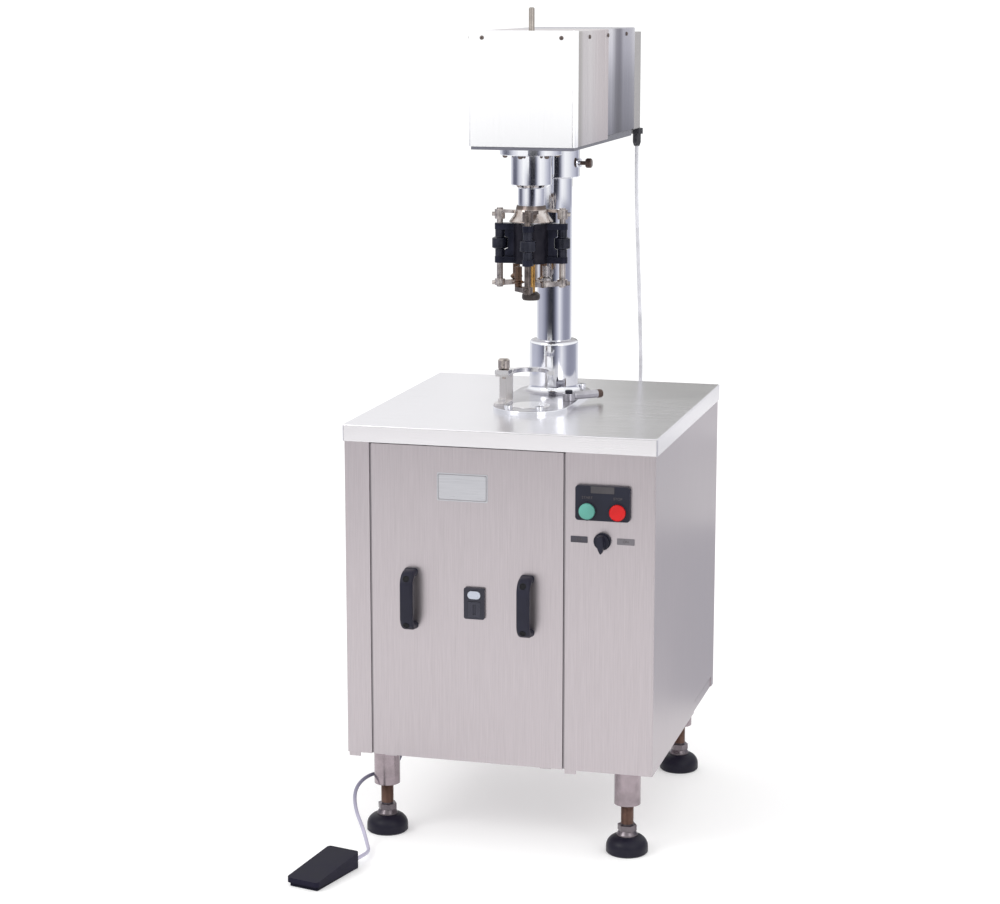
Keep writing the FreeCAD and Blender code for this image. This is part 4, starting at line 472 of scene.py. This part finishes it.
# Nodes whose finish differs from the rest of their slot
OWN_MATERIALS = {
    # Painted reflection: the head's front cover is a near-white copy of the sheet, for the bright light it
    # reflects
    "front_cover": brushed(
        "front_cover_painted_reflection", (0.95, 0.95, 0.96), (0.99, 0.99, 1.0), VERTICAL, 0.16, 0.03, 0.02, 0.0,
    ),
    "column_base": base_metal("column_base_chrome"),
    "levelling_screws": turned_metal("foot_screw_steel", (0.20, 0.175, 0.19), 0.3, 0.4),
    "foot_pedal": plastic("pedal_navy", (0.013, 0.012, 0.024), 0.35, 900.0, 0.1, NAVY_WORN, 0.0, 0.06),
    "foot_switch_base": plastic("switch_navy", (0.007, 0.007, 0.015), 0.4, 900.0, 0.1, NAVY_WORN, 0.0, 0.06),
    "latch_body": plastic("latch_moulding", (0.026, 0.026, 0.038), 0.32, 1500.0, 0.1, (0.05, 0.05, 0.06)),
    "latch_paddle": plastic(
        "latch_flap_moulding", (0.034, 0.034, 0.048), 0.28, 1500.0, 0.1, (0.06, 0.06, 0.07),
    ),
    "roller_arm_4": arm_metal(
        "front_arm", carrier_low.z, carrier_high.z, (0.08, 0.065, 0.06), (0.26, 0.22, 0.20),
    ),
    "roller_1": turned_metal("roller_bright", (0.62, 0.58, 0.57), 0.25, 0.25),
    "pressure_block": painted("block_brown", (0.055, 0.045, 0.042), 0.34, 0.5, 0.12),
    # Rear cover and middle casing carry painted reflections in their colour
    "rear_cover": painted_reflection_metal(
        "rear_cover_painted_reflections", REAR_PAINTED_REFLECTIONS, "rear_cover", 0.20, REAR_PAINTED_SHADE_RISE, (0.66, 0.66, 0.69, 1.0),
    ),
    "middle_casing": painted_reflection_metal("casing_painted_reflections", CASING_PAINTED_REFLECTIONS, "middle_casing", 0.30),
    "clamp_lever": turned_metal("lever_steel", (0.50, 0.49, 0.53), 0.22, 0.2),
    "guide_bracket": brushed(
        "bracket_satin", (0.62, 0.60, 0.60), (0.74, 0.72, 0.72), VERTICAL, 0.3, 0.05, 0.05,
    ),
    "guide_knob": turned_metal("guide_knob_steel", (0.56, 0.50, 0.46), 0.3, 0.25),
    # Painted highlight: the motor cable is a near-white copy of the cable sheath, for the glare on it
    "motor_cable": plastic("cable_pvc_painted_highlight", (0.66, 0.66, 0.70), 0.4, 2000.0, 0.05, (0.02, 0.02, 0.02)),
}
# Painted shade: near-black for the inside of deep screw holes
HOLE_SHADE_BLACK = plastic("screw_recess_painted_shade", (0.004, 0.004, 0.006), 0.6)
TITLE_GREY = plastic("title_grey", (0.055, 0.051, 0.056), 0.45)
PRINT_GREY = plastic("print_grey", (0.085, 0.075, 0.08), 0.5, 900.0, 0.02)
# Painted shade: a darker copy of the sheet for the folded edges deep in the panel gaps
SEAM_SHADED_STEEL = brushed("seam_steel_painted_shade", (0.22, 0.20, 0.215), (0.32, 0.295, 0.31), VERTICAL, 0.4, 0.05)
SCREW_DARK = turned_metal("screw_dark", (0.16, 0.13, 0.12), 0.35, 0.3)
THREAD_BROWN = turned_metal("thread_brown", (0.20, 0.125, 0.10), 0.35, 0.35)
PLATE_GREY = brushed("nameplate_satin", (0.47, 0.47, 0.50), (0.62, 0.62, 0.65), LEVEL, 0.30, 0.06, 0.08)
RIM_GREY = brushed("nameplate_rim_steel", (0.30, 0.29, 0.31), (0.38, 0.37, 0.39), LEVEL, 0.3, 0.05)
LABEL_DARK = plastic("label_dark", (0.055, 0.052, 0.065), 0.5, 900.0, 0.04)
LABEL_PALE = plastic("label_pale", (0.16, 0.15, 0.165), 0.5, 900.0, 0.04)


def dress_nodes():
    """Gives each CAD node its material."""
    for name, obj in NODES.items():
        material = OWN_MATERIALS.get(name, MATERIALS[SLOT_OF[name]])
        if not obj.material_slots:
            obj.data.materials.append(material)
        for slot in obj.material_slots:
            slot.material = material


dress_nodes()


# Mesh helpers
def finish_piece(obj, body, slot, material=None, smooth=True, bevel=0.0):
    """Gives a piece its finish, its smooth shading and the body it rides on."""
    obj.data.materials.append(material or MATERIALS[slot])
    if smooth and obj.type == "MESH":
        obj.data.shade_smooth()
        obj.data.set_sharp_from_angle(angle=math.radians(40))
    if bevel:
        modifier = obj.modifiers.new("edge", "BEVEL")
        modifier.width = bevel
        modifier.segments = 3
        modifier.limit_method = "ANGLE"
        modifier.angle_limit = math.radians(35)
    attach(obj, body)
    return obj


def mesh_object(name, bm):
    mesh = bpy.data.meshes.new(name)
    bmesh.ops.recalc_face_normals(bm, faces=bm.faces)
    bm.to_mesh(mesh)
    bm.free()
    obj = bpy.data.objects.new(name, mesh)
    bpy.context.scene.collection.objects.link(obj)
    return obj


def rounded_outline(width, height, corner, segments=5):
    """Points of a rounded rectangle about its centre."""
    points = []
    for sx, sy, start in ((1, 1, 0), (-1, 1, 90), (-1, -1, 180), (1, -1, 270)):
        for k in range(segments + 1):
            angle = math.radians(start + 90 * k / segments)
            points.append((
                sx * (width / 2 - corner) + corner * math.cos(angle),
                sy * (height / 2 - corner) + corner * math.sin(angle),
            ))
    return points


def extrude_outline(bm, centre, points, depth, axes):
    """Flat plate with the given outline in the axes plane, depth thick along the normal."""
    u, v, n = axes
    face = [bm.verts.new(centre + u * a + v * b + n * depth) for a, b in points]
    back = [bm.verts.new(centre + u * a + v * b) for a, b in points]
    bm.faces.new(face)
    bm.faces.new(back[::-1])
    for k in range(len(points)):
        j = (k + 1) % len(points)
        bm.faces.new((face[k], back[k], back[j], face[j]))


FACING_FRONT = (X, Z, -Y)


def front_plate(bm, centre, width, height, depth, corner, segments=6):
    """Plate with rounded corners that lies on a front face."""
    extrude_outline(bm, centre, rounded_outline(width, height, corner, segments), depth, FACING_FRONT)


def skin(bm, rings):
    """Faces between each ring of points and the next."""
    for first, second in zip(rings, rings[1:]):
        for k in range(len(first)):
            j = (k + 1) % len(first)
            bm.faces.new((first[k], first[j], second[j], second[k]))


def lathe(bm, centre, axis, profile, segments=32):
    """Surface of revolution from (radius, height) points along axis, all in metres."""
    axis = axis.normalized()
    side = axis.orthogonal().normalized()
    other = axis.cross(side)
    rings = []
    for radius, height in profile:
        if radius < 1e-7:
            rings.append([bm.verts.new(centre + axis * height)])
            continue
        rings.append([
            bm.verts.new(
                centre + axis * height + side * radius * math.cos(2 * math.pi * k / segments)
                + other * radius * math.sin(2 * math.pi * k / segments)
            )
            for k in range(segments)
        ])
    for a, b in zip(rings, rings[1:]):
        for k in range(segments):
            j = (k + 1) % segments
            if len(a) == 1:
                bm.faces.new((a[0], b[k], b[j]))
            elif len(b) == 1:
                bm.faces.new((a[k], a[j], b[0]))
            else:
                bm.faces.new((a[k], a[j], b[j], b[k]))


def screw_head(bm, centre, normal, radius, height):
    """Domed pan head with a sunk cross recess left as a dimple."""
    profile = [(radius, 0), (radius, height * 0.45), (radius * 0.85, height * 0.8), (radius * 0.5, height)]
    profile += [(radius * 0.32, height), (radius * 0.22, height * 0.45), (0, height * 0.45)]
    lathe(bm, centre, normal, profile, 20)


# Cables
FOOT_ROUTE = [
    (-229, -190, 158), (-229, -190, 138.5), (-234, -197.5, 120), (-243, -210, 109), (-257, -229, 106.5),
    (-280, -262, 106), (-291, -300, 91), (-280, -330, 62), (-257, -352, 32), (-243, -372, 12),
    (-228, -404, 8), (-227.76, -439.35, 13), (-235.5, -470.4, 13),
]
MOTOR_ROUTE = [
    (94, 446, 1286), (94, 446, 1200), (97, 449, 1100), (101, 452, 990), (105, 454, 880),
    (107, 452, 785), (105, 436, 705), (97, 392, 645), (97, 331, 645),
]


FOOT_CABLE = 0.007
MOTOR_CABLE = 0.008


def evaluated_mesh(obj):
    """New mesh with the shape that a curve or text has once it is worked out."""
    return bpy.data.meshes.new_from_object(obj.evaluated_get(bpy.context.evaluated_depsgraph_get()))


def route_curve(name, route, diameter):
    """Smooth NURBS line whose control points are the route's."""
    curve = bpy.data.curves.new(name, "CURVE")
    curve.dimensions = "3D"
    spline = curve.splines.new("NURBS")
    spline.points.add(len(route) - 1)
    for point, place in zip(spline.points, route):
        point.co = (*at(*place), 1.0)
    spline.order_u = 3
    spline.use_endpoint_u = True
    spline.resolution_u = 12
    curve.bevel_depth = diameter / 2
    curve.bevel_resolution = 5
    obj = bpy.data.objects.new(name, curve)
    bpy.context.scene.collection.objects.link(obj)
    return obj


def foot_cable():
    cable = route_curve("foot_cable_curve", FOOT_ROUTE, FOOT_CABLE)
    finish_piece(cable, "cabinet", "cable_pvc", smooth=False)
    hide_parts("foot_cable")


def motor_cable():
    line = route_curve("motor_cable_line", MOTOR_ROUTE, 0.0)
    centre = evaluated_mesh(line)
    bpy.data.meshes.remove(centre)
    line.data.bevel_depth = MOTOR_CABLE / 2
    tube_mesh = evaluated_mesh(line)
    bpy.data.objects.remove(line)
    tube = bpy.data.objects.new("motor_cable_tube", tube_mesh)
    bpy.context.scene.collection.objects.link(tube)
    tube_mesh.materials.clear()
    tube_mesh.materials.append(OWN_MATERIALS["motor_cable"])
    tube_mesh.shade_smooth()
    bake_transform(tube)
    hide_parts("motor_cable")


foot_cable()
motor_cable()


# Small pieces that dress the controls, the handles and the panels
def sweep(bm, path, section):
    """Closed bar through copies of the section, set across a path of (point, across, outward) stations."""
    rings = [
        [bm.verts.new(point + across * a + outward * b) for a, b in section]
        for point, across, outward in path
    ]
    skin(bm, rings)
    bm.faces.new(rings[0][::-1])
    bm.faces.new(rings[-1])


HANDLE_XS = (-168, 57)
HANDLE_Z = 483.5
HANDLE_HALF = 57.5
HANDLE_PROUD = 38
HANDLE_THICK = 13
HANDLE_BEND = 27


def bow_path(x):
    """Stations round the bow: out of the panel, down the grip and back in, each end with a wide bend."""
    stations = []
    half = HANDLE_THICK / 2
    centre_depth = HANDLE_PROUD - HANDLE_BEND
    bend = HANDLE_BEND - half
    for end in (1, -1):
        arc = []
        z_arc = HANDLE_Z + end * (HANDLE_HALF - HANDLE_BEND)
        arc.append((0.0, z_arc + end * bend, 0.0, end))
        for k in range(9):
            angle = math.radians(90 - 90 * k / 8)
            out, up = math.cos(angle), end * math.sin(angle)
            arc.append((centre_depth + bend * out, z_arc + bend * up, out, up))
        stations += arc if end == 1 else arc[::-1]
    return [(at(x, FRONT - depth, z), X, -Y * out + Z * up) for depth, z, out, up in stations]


def bow_handles():
    """Two bow handles, each with a foot plate at both ends."""
    bm = bmesh.new()
    section = rounded_outline(25 * MM, HANDLE_THICK * MM, 5.5 * MM)
    for x in HANDLE_XS:
        sweep(bm, bow_path(x), section)
        for end in (1, -1):
            foot = at(x, FRONT, HANDLE_Z + end * (HANDLE_HALF - HANDLE_THICK / 2))
            front_plate(bm, foot, 27 * MM, 15 * MM, 3 * MM, 6 * MM)
    obj = mesh_object("bow_handle_mouldings", bm)
    finish_piece(obj, "lift_off_panel", "black_plastic", bevel=0.0003)
    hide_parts("panel_handles")


def handle_screws():
    """Sunk screws in the bends of the handles, each in a ring, near-black all over: painted shade for the
    deep screw holes.
    """
    bm = bmesh.new()
    tilt = math.radians(32)
    for x in HANDLE_XS:
        for end in (1, -1):
            normal = (-Y * math.cos(tilt) + Z * end * math.sin(tilt)).normalized()
            centre = at(x, FRONT - HANDLE_PROUD + HANDLE_BEND, HANDLE_Z + end * (HANDLE_HALF - HANDLE_BEND))
            surface = centre + normal * (HANDLE_BEND - 0.3) * MM
            lathe(bm, surface, normal, [
                (6.2 * MM, 0), (6.2 * MM, 0.8 * MM), (5.4 * MM, 1.2 * MM), (4.8 * MM, 0.9 * MM),
                (4.6 * MM, 0.35 * MM), (0, 0.3 * MM),
            ], 24)
    finish_piece(mesh_object("handle_screw_recesses", bm), "lift_off_panel", "black_plastic", HOLE_SHADE_BLACK)


STATION_X = 200
STATION_Z = 686.5
STATION_FACE = FRONT - 8
BUTTON_Z = STATION_Z - 15
BUTTON_OFFSET = 28.5
LABEL_Z = 616
LABELS = ((155, 32), (242.5, 33))


def station_trim():
    """Bare title strip and the bezels round the two buttons."""
    bm = bmesh.new()
    front_plate(bm, at(STATION_X, STATION_FACE, STATION_Z + 25.5), 44 * MM, 13 * MM, 0.7 * MM, 1.2 * MM)
    strip = mesh_object("station_title_strip", bm)
    finish_piece(strip, "cabinet", "station_plastic", TITLE_GREY, bevel=0.00015)
    bm = bmesh.new()
    for side in (-1, 1):
        lathe(bm, at(STATION_X + side * BUTTON_OFFSET, STATION_FACE, BUTTON_Z), -Y, [
            (17.6 * MM, 0), (17.6 * MM, 1.2 * MM), (16.8 * MM, 2.0 * MM), (15.8 * MM, 2.0 * MM),
            (15.6 * MM, 0),
        ], 48)
    finish_piece(mesh_object("button_bezels", bm), "cabinet", "station_plastic", MATERIALS["black_plastic"])


def words(name, text, centre, size, body, material):
    """Generic raised lettering on a front face."""
    data = bpy.data.curves.new(name + "_text", "FONT")
    data.body = text
    data.size = size
    data.align_x = "CENTER"
    data.align_y = "CENTER"
    data.extrude = 0.00012
    holder = bpy.data.objects.new(name + "_text", data)
    bpy.context.scene.collection.objects.link(holder)
    mesh = evaluated_mesh(holder)
    bpy.data.objects.remove(holder)
    mesh.transform(Matrix.Translation(centre) @ Matrix.Rotation(math.radians(90), 4, "X"))
    mesh.materials.clear()
    obj = bpy.data.objects.new(name, mesh)
    bpy.context.scene.collection.objects.link(obj)
    return finish_piece(obj, body, "station_plastic", material, smooth=False)


def station_words():
    rows = (
        ("start_word", "START", STATION_X - BUTTON_OFFSET, STATION_FACE - 0.1, STATION_Z + 10),
        ("stop_word", "STOP", STATION_X + BUTTON_OFFSET, STATION_FACE - 0.1, STATION_Z + 10),
        ("off_word", "OFF", LABELS[0][0], FRONT - 0.9, LABEL_Z),
        ("on_word", "ON", LABELS[1][0], FRONT - 0.9, LABEL_Z),
    )
    for name, text, x, y, z in rows:
        words(name, text, at(x, y, z), 7 * MM, "cabinet", PRINT_GREY)


SELECTOR_X = 199
SELECTOR_Z = 615


def selector_knob():
    """Knurled skirt with a tapered grip whose tip points down."""
    bm = bmesh.new()
    back = at(SELECTOR_X, FRONT - 5.3, SELECTOR_Z)
    lobes = 30
    skirt = []
    for k in range(lobes * 4):
        angle = 2 * math.pi * k / (lobes * 4)
        radius = 13.6 + 0.35 * math.cos(lobes * angle)
        skirt.append((radius * math.cos(angle) * MM, radius * math.sin(angle) * MM))
    extrude_outline(bm, back, skirt, 6 * MM, FACING_FRONT)
    grip = [
        (-5.5, 8), (-4.5, 12), (0, 13.6), (4.5, 12), (5.5, 8), (6.2, -4), (4.6, -12), (1.6, -19), (0, -20),
        (-1.6, -19), (-4.6, -12), (-6.2, -4),
    ]
    lean = math.radians(-4)
    turned = [
        ((a * math.cos(lean) + b * math.sin(lean)) * MM, (b * math.cos(lean) - a * math.sin(lean)) * MM)
        for a, b in grip
    ]
    extrude_outline(bm, back - Y * 4 * MM, turned, 15 * MM, FACING_FRONT)
    obj = finish_piece(mesh_object("selector_grip", bm), "selector_knob", "black_plastic", bevel=0.0012)
    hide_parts("selector_knob")


SPINDLE_ARMS = (8, 98, 188, 278)
CARRIER_MIDDLE = 1132


def carrier_webs():
    """Black webs between the carrier's hub and its arms, cut back clear of the arms' collars."""
    bm = bmesh.new()
    for angle in SPINDLE_ARMS:
        turn = math.radians(angle)
        out = Vector((math.cos(turn), math.sin(turn), 0))
        side = Vector((-math.sin(turn), math.cos(turn), 0))
        origin = at(0, SPINDLE_Y, CARRIER_MIDDLE) - side * 5 * MM
        outline = [
            (31, -26), (50.5, -26), (50.5, -12.8), (44.5, -9.6), (44.5, 9.6), (50.5, 12.8), (50.5, 26),
            (31, 26),
        ]
        extrude_outline(bm, origin, [(a * MM, b * MM) for a, b in outline], 10 * MM, (out, Z, side))
    finish_piece(mesh_object("carrier_webs", bm), "spindle", "black_steel", bevel=0.0008)


def seam_strips():
    """Folded edges of the frame that show in the gaps beside the front panel, darkened with painted shade.
    """
    panel_low, panel_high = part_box("front_panel")
    control_low, control_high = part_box("control_panel")
    width = 3.4 * MM
    depth = 14 * MM
    bm = bmesh.new()
    for x in (panel_low.x - 4 * MM + width / 2 + 0.1 * MM, control_low.x - width / 2 - 0.1 * MM):
        centre = Vector((x, at(0, FRONT + 2.2, 0).y, (panel_low.z + panel_high.z) / 2))
        front_plate(bm, centre + Y * depth, width, panel_high.z - panel_low.z - 2 * MM, depth, 0.4 * MM, 2)
    finish_piece(mesh_object("seam_strips", bm), "cabinet", "sheet", SEAM_SHADED_STEEL, bevel=0.0002)


# Radius and height of a cover screw's head, in metres
PANEL_SCREW = (4 * MM, 2.4 * MM)
COVER_SCREW_Z = 1519
FLANGE_BOLT_CIRCLE = 50


def head_screws():
    """Cover screws: two on the face, more along each side."""
    bm = bmesh.new()
    for x in (-76, 76):
        screw_head(bm, at(x, -149, COVER_SCREW_Z), -Y, *PANEL_SCREW)
    for side, places in ((-1, (-136, 3, 168, 300)), (1, (-28, 130, 300))):
        for y in places:
            x = 102.5 if y < -122 else 101.5
            screw_head(bm, at(side * x, y, COVER_SCREW_Z), X * side, *PANEL_SCREW)
    finish_piece(mesh_object("head_cover_screws", bm), "head", "zinc", SCREW_DARK)


def lever_trim():
    """Bronze ring at the clamp lever's end and the dark cap on its hub bolt."""
    turn = math.radians(41.6)
    along = Vector((math.cos(turn), math.sin(turn), 0))
    pivot = at(58, 0, 826.8)
    bm = bmesh.new()
    lathe(bm, pivot + along * 62 * MM, along, [
        (7.6 * MM, 0), (8.5 * MM, 0.8 * MM), (8.5 * MM, 8 * MM), (7.4 * MM, 11 * MM), (0, 11.4 * MM),
    ], 32)
    finish_piece(mesh_object("clamp_lever_ring", bm), "clamp_lever", "bronze_knob")
    bm = bmesh.new()
    lathe(bm, at(58, 0, 832.4), Z, [
        (7.4 * MM, 0), (7.4 * MM, 4.5 * MM), (6.4 * MM, 6 * MM), (3.2 * MM, 6.4 * MM), (0, 6.4 * MM),
    ], 32)
    finish_piece(mesh_object("clamp_bolt_cap", bm), "clamp_lever", "black_plastic")


def flange_bolts():
    """Dark bolts that hang the spindle housing under the head."""
    bm = bmesh.new()
    for k in range(6):
        turn = math.radians(200 + 60 * k)
        x = FLANGE_BOLT_CIRCLE * math.cos(turn)
        y = SPINDLE_Y + FLANGE_BOLT_CIRCLE * math.sin(turn)
        screw_head(bm, at(x, y, 1300), -Z, 5 * MM, 6 * MM)
    finish_piece(mesh_object("housing_flange_bolts", bm), "head", "zinc", SCREW_DARK)


def back_screws():
    """Screws that hold the back panel."""
    back_low, back_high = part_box("back_panel")
    bm = bmesh.new()
    middle = (back_low + back_high) / 2
    for x in (back_low.x + 0.014, middle.x, back_high.x - 0.014):
        for z in (back_low.z + 0.02, middle.z, back_high.z - 0.02):
            if x != middle.x or z != middle.z:
                screw_head(bm, Vector((x, back_high.y, z)), Y, *PANEL_SCREW)
    finish_piece(mesh_object("back_panel_screws", bm), "cabinet", "zinc", SCREW_DARK)


def foot_threads():
    """Thread of each levelling screw, between its nut and the leg tube."""
    bm = bmesh.new()
    pitch = 2.5
    root = 11.2 * MM
    for sx in (-1, 1):
        for sy in (-1, 1):
            profile = [(10.9 * MM, 0)]
            for k in range(15):
                base = k * pitch
                profile += [
                    (root, (base + 0.3) * MM), (12.2 * MM, (base + pitch / 2) * MM),
                    (root, (base + 2.2) * MM),
                ]
            profile.append((10.9 * MM, 15 * pitch * MM))
            lathe(bm, at(238 * sx, 258 * sy, 57), Z, profile, 28)
    finish_piece(mesh_object("levelling_screw_threads", bm), "cabinet", "zinc", THREAD_BROWN)


def nameplate():
    """Bare plate with a thin raised rim and four rivets."""
    bm = bmesh.new()
    centre = at(-68, FRONT, 700.5)
    front_plate(bm, centre, 98 * MM, 53 * MM, 0.8 * MM, 3 * MM)
    for sx in (-1, 1):
        for sz in (-1, 1):
            corner = centre + X * sx * 44 * MM + Z * sz * 21.5 * MM - Y * 0.8 * MM
            lathe(bm, corner, -Y, [(1.6 * MM, 0), (1.3 * MM, 0.6 * MM), (0, 0.9 * MM)], 16)
    plate = mesh_object("nameplate_bare", bm)
    finish_piece(plate, "lift_off_panel", "polished_steel", PLATE_GREY, bevel=0.0002)
    bm = bmesh.new()
    outer = rounded_outline(94 * MM, 49 * MM, 2.6 * MM)
    inner = rounded_outline(91 * MM, 46 * MM, 1.6 * MM)
    rings = [
        [bm.verts.new(centre + X * a + Z * b - Y * depth * MM) for a, b in outline]
        for outline, depth in ((outer, 0.7), (outer, 1.2), (inner, 1.2), (inner, 0.7))
    ]
    skin(bm, rings + rings[:1])
    finish_piece(mesh_object("nameplate_rim", bm), "lift_off_panel", "polished_steel", RIM_GREY)


def selector_labels():
    rows = (("selector_label_off", LABEL_DARK), ("selector_label_on", LABEL_PALE))
    for (x, width), (name, material) in zip(LABELS, rows):
        bm = bmesh.new()
        front_plate(bm, at(x, FRONT, LABEL_Z), width * MM, 12 * MM, 0.8 * MM, 1.5 * MM)
        finish_piece(mesh_object(name, bm), "cabinet", "station_plastic", material, bevel=0.0002)


bow_handles()
handle_screws()
station_trim()
selector_labels()
station_words()
selector_knob()
carrier_webs()
seam_strips()
head_screws()
lever_trim()
flange_bolts()
back_screws()
foot_threads()
nameplate()


# Floor, light and camera
def floor():
    """Wide pale floor."""
    bm = bmesh.new()
    size = 400.0
    corners = [bm.verts.new((sx * size, sy * size, 0)) for sx, sy in ((-1, -1), (1, -1), (1, 1), (-1, 1))]
    bm.faces.new(corners)
    obj = mesh_object("floor", bm)
    n = Nodes("floor_pale")
    cloud = n.noise(0.8, 2.0)
    n.link(n.shades(cloud, (0.72, 0.72, 0.72), (0.75, 0.75, 0.75)), n.bsdf.inputs["Base Color"])
    n.constant(Roughness=0.9, Metallic=0.0, Specular_IOR_Level=0.0)
    n.constant(Emission_Color=(1.0, 1.0, 1.0, 1.0), Emission_Strength=0.32)
    obj.data.materials.append(n.mat)


def band_material(name, tones, tint=0.36):
    """Cloth lit unevenly round the ring; each stop is a bearing in degrees and its tone."""
    n = Nodes(name)
    dx = n.math("SUBTRACT", n.axis("X"), SPINDLE_X0)
    dy = n.math("SUBTRACT", n.axis("Y"), SPINDLE_Y0)
    bearing = n.math("ARCTAN2", dy, dx)
    along = n.remap(bearing, -math.pi, math.pi, 0.0, 1.0)
    stops = []
    for degrees, tone in tones:
        blue = tint * max(0.0, 1.0 - tone)
        color = (tone * (1 - blue / 3), tone * (1 - blue / 4), tone * (1 + 0.7 * blue))
        stops.append(((degrees + 180) / 360, color))
    n.link(n.ramp(along, stops), n.bsdf.inputs["Emission Color"])
    n.constant(Base_Color=(0.0, 0.0, 0.0, 1.0), Roughness=1.0, Specular_IOR_Level=0.0, Emission_Strength=1.0)
    return n.mat


def band(name, start, end, low_edge, high_edge, material, distance=2.6):
    """Part of a ring of studio cloth round the spindle, seen only in the polished parts."""
    bm = bmesh.new()
    centre = Vector((SPINDLE_X0, SPINDLE_Y0, 0.0))
    steps = max(4, int((end - start) / 4))
    previous = None
    for k in range(steps + 1):
        angle = math.radians(start + (end - start) * k / steps)
        foot = centre + distance * Vector((math.cos(angle), math.sin(angle), 0.0))
        pair = (bm.verts.new(foot + Z * low_edge), bm.verts.new(foot + Z * high_edge))
        if previous:
            bm.faces.new((previous[0], pair[0], pair[1], previous[1]))
        previous = pair
    obj = mesh_object(name, bm)
    obj.data.materials.append(material)
    obj.visible_camera = False
    obj.visible_diffuse = False
    obj.visible_shadow = False
    obj.visible_transmission = False


# Bearing about the spindle in degrees, tone
LOW_TONES = (
    (-180, 0.56), (-170, 0.54), (-147, 0.38), (-131, 0.20), (-119, 0.085), (-104, 0.03), (-88, 0.03),
    (-77, 0.09), (-64, 0.30), (-51, 0.62), (-38, 0.92), (-24, 0.66), (-8, 0.38), (8, 0.33), (28, 0.35),
    (46, 0.42), (62, 0.8), (90, 1.0), (145, 0.9), (160, 0.58), (180, 0.56),
)
HIGH_TONES = (
    (-180, 0.14), (-166, 0.22), (-145, 0.75), (-120, 1.08), (-104, 0.80), (-88, 0.16), (-76, 0.025),
    (-58, 0.025), (-48, 0.20), (-37, 0.80), (-24, 1.08), (-2, 0.95), (17, 0.72), (35, 0.56), (55, 0.38),
    (70, 0.7), (90, 1.0), (145, 0.8), (165, 0.25), (180, 0.14),
)
TABLE_TONES = (
    (-180, 1.08), (81, 0.9), (86, 0.34), (95, 0.28), (100, 0.55), (105, 0.95), (109, 1.08), (180, 1.08),
)
SIDE_TONES = ((-180, 0.64), (180, 0.64))
SIDE_HIGH_TONES = ((-180, 0.86), (180, 0.86))


def bands():
    """Ring of cloths that gives the chrome its upright bands and the table its shade."""
    low = band_material("band_low_cloth", LOW_TONES)
    high = band_material("band_high_cloth", HIGH_TONES)
    table = band_material("band_table_cloth", TABLE_TONES, -0.1)
    side = band_material("band_side_cloth", SIDE_TONES, 0.2)
    band("band_operator_left", -125, -90, 0.53, 0.97, low)
    band("band_operator_right", -90, -80, 0.47, 0.97, low)
    band("band_low", -80, 70, 0.05, 0.97, low)
    band("band_low_right", 70, 95, 0.42, 0.97, low)
    band("band_low_left", 95, 235, 0.05, 0.97, low)
    band("band_high", -88, 235, 0.97, 1.17, high)
    band("band_high_front", -125, -88, 0.97, 1.08, high)
    band("band_table", 81, 110, 1.04, 1.6, table, 2.5)
    band("band_side", 38, 90, 0.0, 0.42, side, 0.9)
    side_high = band_material("band_side_high_cloth", SIDE_HIGH_TONES, 0.2)
    band("band_side_high", 38, 90, 0.42, 0.62, side_high, 0.9)


def world():
    """Even white studio."""
    scene_world = bpy.data.worlds.new("studio")
    bpy.context.scene.world = scene_world
    scene_world.use_nodes = True
    background = scene_world.node_tree.nodes["Background"]
    background.inputs["Color"].default_value = (1.0, 1.0, 1.0, 1.0)
    background.inputs["Strength"].default_value = 1.08


def area_light(name, place, target, size, power):
    data = bpy.data.lights.new(name, "AREA")
    data.shape = "RECTANGLE"
    data.size, data.size_y = size
    data.energy = power
    obj = bpy.data.objects.new(name, data)
    bpy.context.scene.collection.objects.link(obj)
    obj.location = place
    obj.rotation_euler = (Vector(target) - Vector(place)).to_track_quat("-Z", "Y").to_euler()


def camera():
    """Camera at the viewing angle of the photograph."""
    data = bpy.data.cameras.new("camera")
    data.sensor_width = 36.0
    data.lens = 86.605
    data.clip_end = 1000
    obj = bpy.data.objects.new("camera", data)
    bpy.context.scene.collection.objects.link(obj)
    obj.location = at(1139, -4510, 1608)
    obj.rotation_euler = (math.radians(90 - 10.90), 0, math.radians(15.14))
    bpy.context.scene.camera = obj


bpy.context.scene.view_settings.view_transform = "Standard"
floor()
world()
bands()
area_light("key", (-2.6, -3.2, 3.4), (0, 0, 0.7), (2.2, 1.6), 60)
area_light("fill", (2.8, -2.6, 2.2), (0, 0, 0.8), (1.6, 2.0), 20)
camera()
